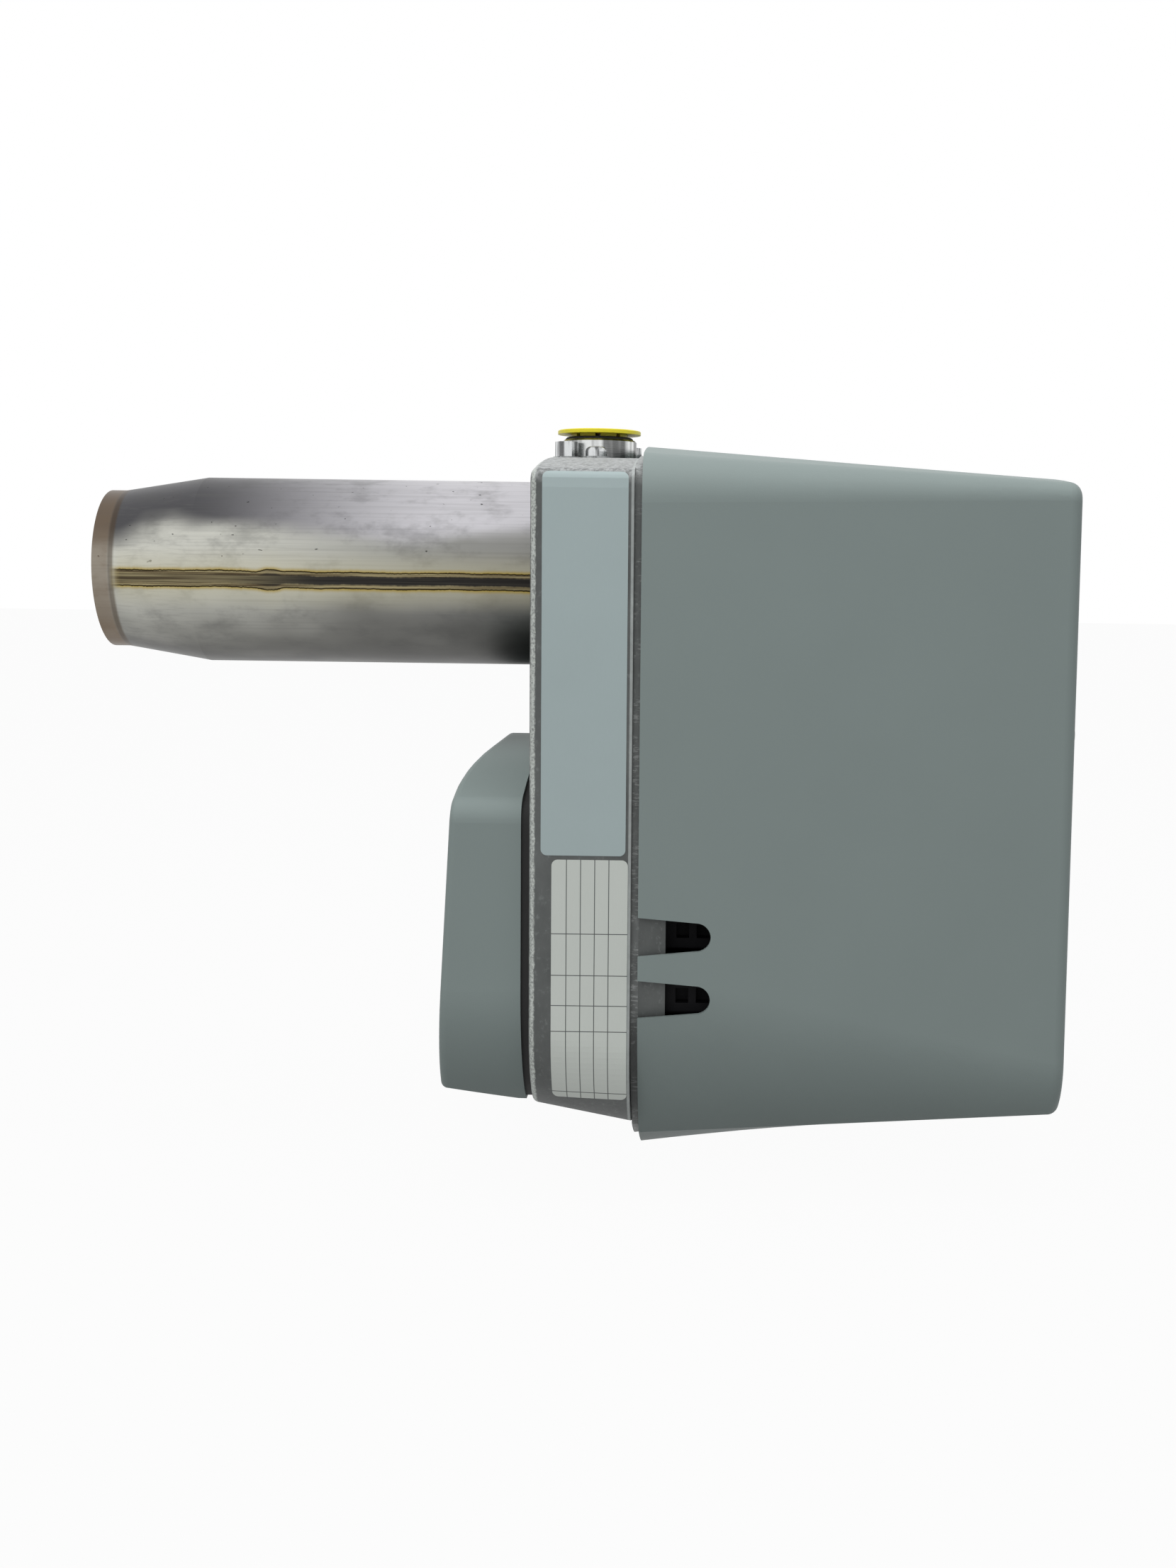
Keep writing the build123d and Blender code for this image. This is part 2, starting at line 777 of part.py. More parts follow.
with BuildPart() as motor_rotor:
    with BuildSketch(fan_plane(stator_front - 6.0)):
        Circle(rotor_radius)
        Circle(shaft_radius, mode=Mode.SUBTRACT)
    extrude(amount=stator_length + 12.0)
finish(motor_rotor, "motor_rotor")

with BuildPart() as motor_stator:
    with BuildSketch(fan_plane(stator_front)):
        Circle(motor_radius - motor_wall)
        Circle(stator_bore, mode=Mode.SUBTRACT)
    extrude(amount=stator_length)
finish(motor_stator, "motor_stator")

with BuildPart() as motor_windings:
    for x, length in ((stator_front - 9.0, 9.0), (stator_front + stator_length, 9.0)):
        with BuildSketch(fan_plane(x)):
            Circle(motor_radius - motor_wall - 4.0)
            Circle(stator_bore + 2.0, mode=Mode.SUBTRACT)
        extrude(amount=length)
finish(motor_windings, "motor_windings")

with BuildPart() as motor_bearings:
    for x in (front_bearing, rear_bearing):
        with BuildSketch(fan_plane(x)):
            Circle(bearing_radius)
            Circle(shaft_radius + running_gap, mode=Mode.SUBTRACT)
        extrude(amount=bearing_width)
finish(motor_bearings, "motor_bearings")

with BuildPart() as motor_housing:
    with BuildSketch(fan_plane(motor_front)):
        Circle(motor_radius)
    extrude(amount=motor_length - 12.0)
    with BuildSketch(fan_plane(motor_front + 12.0)):
        with PolarLocations(motor_radius + motor_fin_height / 2 - 0.5, motor_fins):
            Rectangle(motor_fin_height + 1.0, motor_fin_thickness)
    extrude(amount=motor_length - 30.0)
    with BuildSketch(fan_plane(motor_front + 12.0)):
        Circle(motor_radius - motor_wall)
    extrude(amount=motor_length, mode=Mode.SUBTRACT)
    with BuildSketch(fan_plane(motor_front - 1.0)):
        Circle(bearing_radius)
    extrude(amount=15.0, mode=Mode.SUBTRACT)
finish(motor_housing, "motor_housing")

with BuildPart() as motor_end_cap:
    with BuildSketch(fan_plane(motor_rear - 12.0)):
        Circle(motor_radius)
    extrude(amount=12.0)
    fillet(motor_end_cap.faces().sort_by(Axis.X)[-1].edges(), radius=4.0)
    with BuildSketch(fan_plane(motor_rear - 12.0)):
        Circle(bearing_radius)
    extrude(amount=10.0, mode=Mode.SUBTRACT)
finish(motor_end_cap, "motor_end_cap")

with BuildPart() as motor_screws:
    with BuildSketch(fan_plane(motor_rear)):
        with PolarLocations(motor_bolt_circle, 4, start_angle=45):
            RegularPolygon(screw_head_radius, 6)
    extrude(amount=screw_head_height)
finish(motor_screws, "motor_screws")

# ---------------------------------------------------------------- gas port on the crown
ceiling = casting_crest - casting_wall
with BuildPart() as gas_manifold:
    # Spigot and drop pipe, with a cross sleeve in which the gas line slides
    with BuildSketch(Plane.XY):
        with Locations((port_x, 0)):
            Circle(drop_pipe_radius)
    extrude(amount=ceiling)
    with BuildSketch(Plane.XY.offset(ceiling)):
        with Locations((port_x, 0)):
            Circle(spigot_radius - press_gap)
    extrude(amount=spigot_top - ceiling)
    chamfer(gas_manifold.faces().sort_by(Axis.Z)[-1].edges(), length=0.8)
    with BuildSketch(axis_plane(sleeve_front)):
        Circle(sleeve_radius)
    extrude(amount=sleeve_rear - sleeve_front)
    with BuildSketch(Plane.XY.offset(ceiling + 1.5)):
        with Locations((port_x, 0)):
            Circle(spigot_bore)
    extrude(amount=spigot_top - ceiling, mode=Mode.SUBTRACT)
    with BuildSketch(Plane.XY):
        with Locations((port_x, 0)):
            Circle(drop_pipe_bore)
    extrude(amount=spigot_top, mode=Mode.SUBTRACT)
    with BuildSketch(axis_plane(sleeve_front)):
        Circle(pipe_radius + running_gap)
    extrude(amount=sleeve_rear - sleeve_front, mode=Mode.SUBTRACT)
    # Groove for the sealing ring
    with BuildSketch(Plane.XZ.move(Location((port_x, 0, 0)))):
        with Locations((ring_radius, spigot_top)):
            Circle(ring_cord + running_gap)
    revolve(axis=Axis((port_x, 0, 0), (0, 0, 1)), mode=Mode.SUBTRACT)
finish(gas_manifold, "gas_manifold")

with BuildPart() as port_seal_ring:
    with BuildSketch(Plane.XZ.move(Location((port_x, 0, 0)))):
        with Locations((ring_radius, spigot_top)):
            Circle(ring_cord)
    revolve(axis=Axis((port_x, 0, 0), (0, 0, 1)))
finish(port_seal_ring, "port_seal_ring")

with BuildPart() as transport_cap:
    with BuildSketch(Plane.XY.offset(cap_height)):
        with Locations((port_x, 0)):
            Circle(cap_radius)
    extrude(amount=cap_thickness)
    fillet(transport_cap.faces().sort_by(Axis.Z)[-1].edges(), radius=0.5)
    with BuildSketch(Plane.XY.offset(cap_height)):
        with Locations((port_x, 0)):
            Circle(cap_skirt_radius)
            Circle(cap_skirt_radius - 1.4, mode=Mode.SUBTRACT)
            with PolarLocations(cap_skirt_radius, cap_fingers):
                Rectangle(6.0, 2.2, mode=Mode.SUBTRACT)
    extrude(amount=-cap_skirt_depth)
finish(transport_cap, "transport_cap")

with BuildPart() as port_screws:
    with BuildSketch(Plane.XY.offset(pad_height)):
        with Locations(*port_screw_places):
            RegularPolygon(port_screw_flats / 2, 6, major_radius=False)
    extrude(amount=washer_thickness + port_screw_head)
finish(port_screws, "port_screws")

with BuildPart() as test_point_screw:
    # Domed screw that closes the gas pressure test point
    with BuildSketch(Plane.XY.offset(pad_height)):
        with Locations((port_x, plug_screw_y)):
            Circle(plug_screw_radius)
    extrude(amount=plug_screw_height)
    fillet(test_point_screw.faces().sort_by(Axis.Z)[-1].edges(), radius=plug_screw_height / 2)
    with BuildSketch(Plane.XY.offset(pad_height + plug_screw_height)):
        with Locations((port_x, plug_screw_y)):
            RegularPolygon(1.8, 6)
    extrude(amount=-1.6, mode=Mode.SUBTRACT)
finish(test_point_screw, "test_point_screw")

# ---------------------------------------------------------------- gas line and mixing head
pipe_bore = pipe_radius - pipe_wall
nozzle_front = pipe_front - nozzle_length

with BuildPart() as gas_pipe:
    with BuildSketch(axis_plane(pipe_front)):
        Circle(pipe_radius)
        Circle(pipe_bore, mode=Mode.SUBTRACT)
    extrude(amount=pipe_rear - pipe_front)
    # Long inlet port under the drop pipe, open through the whole travel
    with BuildSketch(Plane.XY):
        with Locations((port_x, 0)):
            SlotOverall(gas_inlet_length, gas_inlet_width)
    extrude(amount=pipe_radius + 1.0, mode=Mode.SUBTRACT)
finish(gas_pipe, "gas_pipe")

with BuildPart() as gas_nozzle:
    with BuildSketch(Plane.XZ):
        with BuildLine():
            Polyline(
                (pipe_front + 8.0, pipe_bore - press_gap),
                (pipe_front, pipe_bore - press_gap),
                (pipe_front, nozzle_radius - 2.0),
                (pipe_front - 3.0, nozzle_radius),
                (nozzle_front + 3.0, nozzle_radius),
                (nozzle_front, nozzle_radius - 4.0),
                (nozzle_front, 0.0),
                (nozzle_front + 2.5, 0.0),
                (nozzle_front + 2.5, nozzle_radius - 4.5),
                (pipe_front - 3.0, pipe_bore - 1.5),
                (pipe_front + 8.0, pipe_bore - 1.5),
                close=True,
            )
        make_face()
    revolve(axis=Axis.X)
    for turn in range(nozzle_holes):
        angle = 360.0 * turn / nozzle_holes
        with BuildSketch(Plane(origin=(nozzle_front + 6.0, 0, 0), z_dir=Vector(0, 0, 1).rotate(Axis.X, angle))):
            Circle(1.2)
        extrude(amount=nozzle_radius + 1.0, mode=Mode.SUBTRACT)
finish(gas_nozzle, "gas_nozzle")


def disc_slot():
    """One swirl slot of the baffle disc, slanted across its radius."""
    with BuildSketch() as slot:
        with Locations((0.68 * disc_radius, 0)):
            SlotOverall(0.5 * disc_radius, 2.2, rotation=22)
    return slot.sketch


def electrode_spot(angle):
    """Centre of an electrode in the plane across the tube."""
    turn = math.radians(angle)
    return (electrode_offset * math.cos(turn), electrode_offset * math.sin(turn))


with BuildPart() as baffle_disc:
    with BuildSketch(axis_plane(disc_x)):
        Circle(disc_radius)
        Circle(nozzle_radius + press_gap, mode=Mode.SUBTRACT)
        one_slot = disc_slot()
        with PolarLocations(0, disc_vanes):
            add(one_slot, mode=Mode.SUBTRACT)
    extrude(amount=disc_thickness)
    # Turned rim that stiffens the disc
    with BuildSketch(axis_plane(disc_x)):
        Circle(disc_radius)
        Circle(disc_radius - disc_thickness, mode=Mode.SUBTRACT)
    extrude(amount=5.0)
    with BuildSketch(axis_plane(disc_x)):
        with Locations(*[electrode_spot(angle) for angle in electrode_angles]):
            Circle(ceramic_radius + 2.0)
    extrude(amount=disc_thickness)
    with BuildSketch(axis_plane(disc_x - 1.0)):
        with Locations(*[electrode_spot(angle) for angle in electrode_angles]):
            Circle(ceramic_radius + seat_gap)
    extrude(amount=disc_thickness + 2.0, mode=Mode.SUBTRACT)
finish(baffle_disc, "baffle_disc")

with BuildPart() as electrode_ceramics:
    for angle in electrode_angles:
        y, z = electrode_spot(angle)
        with BuildSketch(axis_plane(disc_x - 4.0, y, z)):
            Circle(ceramic_radius)
            Circle(electrode_wire, mode=Mode.SUBTRACT)
        extrude(amount=ceramic_length)
finish(electrode_ceramics, "electrode_ceramics")

with BuildPart() as electrode_wires:
    # Straight through the ceramic, then bent towards the axis ahead of the disc
    for angle in electrode_angles:
        y, z = electrode_spot(angle)
        tip_y, tip_z = y * electrode_tip, z * electrode_tip
        start_x = disc_x - 4.0 + ceramic_length + 5.0
        with BuildLine() as wire_path:
            FilletPolyline((start_x, y, z), (disc_x - 10.0, y, z), (disc_x - 13.0, tip_y, tip_z), radius=3.0)
        with BuildSketch(axis_plane(start_x, y, z)):
            Circle(electrode_wire)
        sweep(path=wire_path.line)
finish(electrode_wires, "electrode_wires")

with BuildPart() as electrode_bracket:
    with BuildSketch(axis_plane(bracket_x)):
        Circle(pipe_radius + 4.0)
        for angle in electrode_angles:
            y, z = electrode_spot(angle)
            with Locations((y, z)):
                Circle(ceramic_radius + 2.5)
            with Locations((y / 2, z / 2)):
                Rectangle(electrode_offset, 6.0, rotation=angle)
        Circle(pipe_radius, mode=Mode.SUBTRACT)
        with Locations(*[electrode_spot(angle) for angle in electrode_angles]):
            Circle(ceramic_radius, mode=Mode.SUBTRACT)
    extrude(amount=8.0)
finish(electrode_bracket, "electrode_bracket")

with BuildPart() as head_rod:
    # Graduated rod that carries the gas line and sets its reach
    with BuildSketch(axis_plane(pipe_rear - 6.0)):
        Circle(pipe_bore - press_gap)
    extrude(amount=6.0)
    with BuildSketch(axis_plane(pipe_rear)):
        Circle(rod_radius)
    extrude(amount=rod_rear - pipe_rear)
    chamfer(head_rod.faces().sort_by(Axis.X)[-1].edges(), length=0.8)
finish(head_rod, "head_rod")

with BuildPart() as rod_bush:
    with BuildSketch(axis_plane(plate_front)):
        Circle(rod_bush_radius)
        Circle(rod_radius + running_gap, mode=Mode.SUBTRACT)
    extrude(amount=plate_thickness)
    with BuildSketch(axis_plane(plate_rear)):
        Circle(rod_bush_radius + 3.0)
        Circle(rod_radius + running_gap, mode=Mode.SUBTRACT)
    extrude(amount=12.0)
    with BuildSketch(Plane.XY.offset(rod_radius - 1.0)):
        with Locations((plate_rear + 6.0, 0)):
            Circle(2.0)
    extrude(amount=rod_bush_radius, mode=Mode.SUBTRACT)
finish(rod_bush, "rod_bush")

with BuildPart() as rod_clamp_screw:
    with BuildSketch(Plane.XY.offset(rod_radius + seat_gap)):
        with Locations((plate_rear + 6.0, 0)):
            Circle(2.0 - press_gap)
    extrude(amount=rod_bush_radius + 3.0 - rod_radius)
    with BuildSketch(Plane.XY.offset(rod_bush_radius + 3.0 + seat_gap)):
        with Locations((plate_rear + 6.0, 0)):
            Circle(5.0)
            with PolarLocations(5.0, 10):
                Circle(0.7, mode=Mode.SUBTRACT)
    extrude(amount=5.0)
finish(rod_clamp_screw, "rod_clamp_screw")

# ---------------------------------------------------------------- electrical parts under the hood
def block(x, y, z, length, width, height, radius=2.0):
    """A moulded block standing on a plane across X, with rounded long edges."""
    with BuildPart() as body:
        with BuildSketch(axis_plane(x, y, z)):
            RectangleRounded(width, height, radius)
        extrude(amount=length)
        fillet(body.faces().sort_by(Axis.X)[-1].edges(), radius=radius / 2)
    return body.part


with BuildPart() as control_base:
    reach = control_base_reach - plate_rear
    add(block(plate_rear, control_y, control_z, reach, control_width, control_height, 3.0))
finish(control_base, "control_base")

with BuildPart() as control_box:
    reach = control_box_reach - control_base_reach
    add(block(control_base_reach, control_y, control_z, reach, control_width - 4.0, control_height - 4.0, 4.0))
finish(control_box, "control_box")

with BuildPart() as button_guide:
    with BuildSketch(axis_plane(control_box_reach, control_y, control_z)):
        Circle(button_radius + guide_wall)
        Circle(button_radius + running_gap, mode=Mode.SUBTRACT)
    extrude(amount=guide_reach - control_box_reach)
finish(button_guide, "button_guide")

with BuildPart() as reset_button:
    button_tail = control_box_reach + button_travel + 3.0
    with BuildSketch(axis_plane(button_tail, control_y, control_z)):
        Circle(button_radius)
    extrude(amount=hood_rear + button_proud - button_tail)
    fillet(reset_button.faces().sort_by(Axis.X)[-1].edges(), radius=1.5)
finish(reset_button, "reset_button")

with BuildPart() as ignition_transformer:
    add(block(plate_rear, transformer_y, transformer_z, transformer_length,
              transformer_width, transformer_height, 3.0))
    # Two towers that take the ignition leads
    for offset in (-lead_pitch, lead_pitch):
        with BuildSketch(axis_plane(plate_rear + transformer_length, transformer_y + offset, transformer_z)):
            Circle(tower_radius)
            Circle(lead_radius + press_gap, mode=Mode.SUBTRACT)
        extrude(amount=tower_length)
finish(ignition_transformer, "ignition_transformer")

with BuildPart() as lead_grommets:
    for z in (lead_z, lead_z - lead_pitch):
        with BuildSketch(Plane(origin=(0, lead_y, 0), x_dir=(1, 0, 0), z_dir=(0, -1, 0))):
            with BuildLine():
                Polyline(
                    (plate_front - 1.5, z + lead_radius + press_gap),
                    (plate_front - 1.5, z + grommet_radius + 1.5),
                    (plate_front, z + grommet_radius + 1.5),
                    (plate_front, z + grommet_radius),
                    (plate_rear, z + grommet_radius),
                    (plate_rear, z + grommet_radius + 1.5),
                    (plate_rear + 1.5, z + grommet_radius + 1.5),
                    (plate_rear + 1.5, z + lead_radius + press_gap),
                    close=True,
                )
            make_face()
        revolve(axis=Axis((0, lead_y, z), (1, 0, 0)))
finish(lead_grommets, "lead_grommets")

with BuildPart() as ignition_leads:
    # From each tower back past the transformer's inner side and through the plate
    for offset, z in ((-lead_pitch, lead_z), (lead_pitch, lead_z - lead_pitch)):
        tower = plate_rear + transformer_length + 6.0
        start_y = transformer_y + offset
        with BuildLine() as lead_path:
            FilletPolyline(
                (tower, start_y, transformer_z),
                (tower + 22.0, start_y, transformer_z),
                (tower + 22.0, lead_y, z),
                (plate_front - 6.0, lead_y, z),
                radius=9.0,
            )
        with BuildSketch(axis_plane(tower, start_y, transformer_z)):
            Circle(lead_radius)
        sweep(path=lead_path.line)
finish(ignition_leads, "ignition_leads")

with BuildPart() as pressure_switch:
    with BuildSketch(axis_plane(plate_rear, switch_y, switch_z)):
        Circle(switch_radius)
    extrude(amount=switch_base_length)
    with BuildSketch(axis_plane(plate_rear, switch_y, switch_z)):
        Circle(switch_radius - switch_body_inset)
    extrude(amount=switch_body_length)
    with BuildSketch(axis_plane(dial_seat, switch_y, switch_z)):
        Circle(dial_shaft_radius)
    extrude(amount=dial_shaft_length)
    # Nipple through the plate, which feels the fan's pressure in the scroll
    with BuildSketch(axis_plane(plate_rear, switch_y, switch_z)):
        Circle(tapping_radius - press_gap)
        Circle(tapping_radius / 2, mode=Mode.SUBTRACT)
    extrude(amount=-plate_thickness - tapping_reach)
finish(pressure_switch, "pressure_switch")

with BuildPart() as switch_dial:
    with BuildSketch(axis_plane(dial_seat + seat_gap, switch_y, switch_z)):
        Circle(dial_radius)
        with PolarLocations(dial_radius, dial_notches):
            Circle(dial_notch_radius, mode=Mode.SUBTRACT)
        Circle(dial_shaft_radius + running_gap, mode=Mode.SUBTRACT)
    extrude(amount=dial_thickness)
    with BuildSketch(axis_plane(dial_seat + seat_gap + dial_thickness, switch_y, switch_z)):
        with Locations((0, dial_radius - dial_pointer_length)):
            Rectangle(dial_pointer_width, dial_pointer_length)
    extrude(amount=dial_pointer_width / 2)
finish(switch_dial, "switch_dial")

with BuildPart() as switch_cover:
    cover_seat = plate_rear + switch_base_length
    with BuildSketch(axis_plane(cover_seat, switch_y, switch_z)):
        Circle(switch_radius)
        Circle(switch_radius - switch_cover_wall, mode=Mode.SUBTRACT)
    extrude(amount=switch_cover_length)
    with BuildSketch(axis_plane(cover_seat + switch_cover_length, switch_y, switch_z)):
        Circle(switch_radius)
    extrude(amount=switch_cover_wall)
finish(switch_cover, "switch_cover")

capacitor_seat = plate_rear + capacitor_stand

with BuildPart() as run_capacitor:
    with BuildSketch(axis_plane(capacitor_seat, capacitor_y, capacitor_z)):
        Circle(capacitor_radius)
    extrude(amount=capacitor_length)
    fillet(run_capacitor.faces().sort_by(Axis.X)[-1].edges(), radius=2.0)
finish(run_capacitor, "run_capacitor")

with BuildPart() as capacitor_clip:
    with BuildSketch(axis_plane(plate_rear + clip_reach, capacitor_y, capacitor_z)):
        Circle(capacitor_radius + clip_wall)
        Circle(capacitor_radius, mode=Mode.SUBTRACT)
    extrude(amount=clip_width)
    with BuildSketch(axis_plane(plate_rear, capacitor_y, capacitor_z)):
        Circle(capacitor_radius + clip_wall)
    extrude(amount=capacitor_stand)
    with BuildSketch(axis_plane(capacitor_seat, capacitor_y, capacitor_z)):
        with Locations((0, capacitor_radius + clip_wall / 2)):
            Rectangle(clip_width * 2 / 3, clip_wall)
    extrude(amount=clip_reach - capacitor_stand)
finish(capacitor_clip, "capacitor_clip")

with BuildPart() as cable_sockets:
    for height, setback in zip(slot_heights, socket_setbacks):
        depth = hood_front_half_width - setback
        with BuildSketch(axis_plane(plate_rear, -depth, height)):
            RectangleRounded(socket_width, socket_height, 1.5)
        extrude(amount=socket_length)
        with BuildSketch(Plane.XZ.offset(depth + socket_width / 2)):
            latch_x = plate_rear + socket_latch_rise
            with Locations((latch_x, height), (latch_x + socket_latch_pitch, height)):
                Rectangle(5.0, 6.0)
        extrude(amount=-6.0, mode=Mode.SUBTRACT)
finish(cable_sockets, "cable_sockets")

with BuildPart() as sight_glass:
    with BuildSketch(axis_plane(plate_rear - 1.5, sight_y, sight_z)):
        Circle(sight_radius - press_gap)
    extrude(amount=1.5)
finish(sight_glass, "sight_glass")

with BuildPart() as sight_glass_ring:
    with BuildSketch(axis_plane(plate_rear, sight_y, sight_z)):
        Circle(sight_radius + 3.0)
        Circle(sight_radius - 2.0, mode=Mode.SUBTRACT)
    extrude(amount=3.0)
finish(sight_glass_ring, "sight_glass_ring")

with BuildPart() as hood_studs:
    for side in (-1, 1):
        with BuildSketch(axis_plane(plate_rear, side * stud_y, stud_z)):
            RegularPolygon(stud_radius, 6)
        extrude(amount=hood_rear - hood_wall - plate_rear)
finish(hood_studs, "hood_studs")

with BuildPart() as hood_screws:
    for side in (-1, 1):
        with BuildSketch(axis_plane(hood_rear - hood_wall, side * stud_y, stud_z)):
            Circle(screw_radius)
        extrude(amount=hood_wall)
        with BuildSketch(axis_plane(hood_rear, side * stud_y, stud_z)):
            Circle(screw_head_radius)
            Rectangle(1.2, screw_head_radius * 2, mode=Mode.SUBTRACT)
        extrude(amount=screw_head_height * 0.8)
finish(hood_screws, "hood_screws")
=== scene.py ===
import json
import math

import bmesh
import bpy
from mathutils import Matrix, Vector
from mathutils.bvhtree import BVHTree

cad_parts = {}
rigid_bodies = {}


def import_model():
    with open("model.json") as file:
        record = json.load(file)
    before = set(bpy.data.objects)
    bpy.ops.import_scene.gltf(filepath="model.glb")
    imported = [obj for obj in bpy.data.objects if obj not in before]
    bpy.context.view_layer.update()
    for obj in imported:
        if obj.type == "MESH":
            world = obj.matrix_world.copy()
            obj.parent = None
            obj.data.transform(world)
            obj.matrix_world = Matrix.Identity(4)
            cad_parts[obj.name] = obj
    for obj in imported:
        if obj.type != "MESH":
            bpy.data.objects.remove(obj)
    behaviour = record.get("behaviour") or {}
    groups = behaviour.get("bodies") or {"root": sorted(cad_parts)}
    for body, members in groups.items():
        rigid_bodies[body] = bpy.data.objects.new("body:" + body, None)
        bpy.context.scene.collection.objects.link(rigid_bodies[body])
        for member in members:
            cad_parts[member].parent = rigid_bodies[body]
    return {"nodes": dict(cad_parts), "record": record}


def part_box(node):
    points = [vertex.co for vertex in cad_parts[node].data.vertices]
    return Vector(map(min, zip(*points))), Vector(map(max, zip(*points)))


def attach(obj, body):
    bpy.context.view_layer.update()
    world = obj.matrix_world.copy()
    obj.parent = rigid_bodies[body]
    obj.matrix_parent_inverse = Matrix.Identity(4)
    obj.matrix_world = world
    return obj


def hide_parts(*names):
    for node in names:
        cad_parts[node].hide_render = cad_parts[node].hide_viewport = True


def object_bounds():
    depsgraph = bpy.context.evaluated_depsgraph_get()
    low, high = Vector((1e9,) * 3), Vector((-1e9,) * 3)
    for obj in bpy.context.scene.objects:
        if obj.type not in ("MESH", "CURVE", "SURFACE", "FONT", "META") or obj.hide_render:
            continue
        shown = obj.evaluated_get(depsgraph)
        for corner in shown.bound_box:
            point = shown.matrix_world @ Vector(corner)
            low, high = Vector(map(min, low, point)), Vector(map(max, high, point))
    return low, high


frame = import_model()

cad_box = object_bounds()
mm = 0.001
nodes = frame["nodes"]


# ---------------------------------------------------------------- node trees and shader maths
class Nodes:
    """A node tree, with one way to add a node and one way to feed a socket."""

    def __init__(self, tree):
        self.tree = tree

    def node(self, kind, settings=None, inputs=None):
        made = self.tree.nodes.new(kind)
        for name, value in (settings or {}).items():
            setattr(made, name, value)
        for socket, value in (inputs or {}).items():
            self.feed(made.inputs[socket], value)
        return made

    def feed(self, socket, value):
        if isinstance(value, Term):
            value = value.socket
        if isinstance(value, bpy.types.NodeSocket):
            self.tree.links.new(value, socket)
        elif hasattr(value, "__len__") and len(value) == 3 and len(socket.default_value) == 4:
            socket.default_value = (*value, 1.0)
        else:
            socket.default_value = value


class Term:
    """A number that varies over a surface; operators on it add Math nodes."""

    def __init__(self, nodes, socket):
        self.nodes = nodes
        self.socket = socket

    def maths(self, operation, *terms, clamp=False):
        made = self.nodes.node("ShaderNodeMath", {"operation": operation, "use_clamp": clamp},
                               dict(enumerate(terms)))
        return Term(self.nodes, made.outputs[0])

    def __add__(self, other):
        return self.maths("ADD", self, other)

    __radd__ = __add__

    def __sub__(self, other):
        return self.maths("SUBTRACT", self, other)

    def __rsub__(self, other):
        return self.maths("SUBTRACT", other, self)

    def __mul__(self, other):
        return self.maths("MULTIPLY", self, other)

    __rmul__ = __mul__

    def __abs__(self):
        return self.maths("ABSOLUTE", self)

    def high(self, other):
        return self.maths("MAXIMUM", self, other)

    def clamped(self):
        return self.maths("ADD", self, 0.0, clamp=True)

    def step(self, start, end):
        """0 before start, 1 after end, with a smooth rise between; end may be below start."""
        ramp = self.nodes.node(
            "ShaderNodeMapRange", {"interpolation_type": "SMOOTHSTEP", "clamp": True},
            {"Value": self, "From Min": start, "From Max": end, "To Min": 0.0, "To Max": 1.0},
        )
        return Term(self.nodes, ramp.outputs[0])

    def band(self, centre, half, soft):
        """1 within half of centre, falling to 0 over soft."""
        return abs(self - centre).step(half + soft, half)


class Paint(Nodes):
    """One material: a Principled shader and the nodes that feed it."""

    def __init__(self, name, colour, roughness=0.5, metallic=0.0, **fixed):
        self.material = bpy.data.materials.new(name)
        self.material.use_nodes = True
        super().__init__(self.material.node_tree)
        self.shader = self.tree.nodes["Principled BSDF"]
        self.shader.inputs["Base Color"].default_value = (*colour, 1.0)
        self.shader.inputs["Roughness"].default_value = roughness
        self.shader.inputs["Metallic"].default_value = metallic
        for socket, value in fixed.items():
            self.shader.inputs[socket.replace("_", " ")].default_value = value
        self.material.diffuse_color = (*colour, 1.0)

    def place(self, scale=(1.0, 1.0, 1.0)):
        """Object coordinates, stretched by scale."""
        coords = self.node("ShaderNodeTexCoord")
        mapping = self.node("ShaderNodeMapping", {}, {"Vector": coords.outputs["Object"], "Scale": scale})
        return mapping.outputs[0]

    def xyz(self):
        coords = self.node("ShaderNodeTexCoord")
        split = self.node("ShaderNodeSeparateXYZ", {}, {0: coords.outputs["Object"]})
        return [Term(self, split.outputs[i]) for i in range(3)]

    def noise(self, size, detail=3.0, rough=0.55, stretch=(1.0, 1.0, 1.0)):
        """Cloudy noise from 0 to 1 with blobs of about size, in metres."""
        made = self.node(
            "ShaderNodeTexNoise", {},
            {"Vector": self.place(stretch), "Scale": 1.0 / size, "Detail": detail, "Roughness": rough},
        )
        return Term(self, made.outputs[0])

    def mix(self, factor, first, second):
        factor_socket, first_colour, second_colour, colour_result = 0, 6, 7, 2
        made = self.node("ShaderNodeMix", {"data_type": "RGBA"},
                         {factor_socket: factor, first_colour: first, second_colour: second})
        return made.outputs[colour_result]

    def shade(self, first, second, factor):
        """Base colour that goes from first to second with factor."""
        self.feed(self.shader.inputs["Base Color"], self.mix(factor, first, second))

    def rough(self, low, high, factor):
        self.feed(self.shader.inputs["Roughness"], low + (high - low) * factor)

    def bump(self, height, depth, strength=1.0):
        made = self.node("ShaderNodeBump", {}, {"Height": height, "Distance": depth, "Strength": strength})
        self.feed(self.shader.inputs["Normal"], made.outputs[0])


def lighter(colour, factor):
    return tuple(min(1.0, c * factor) for c in colour)


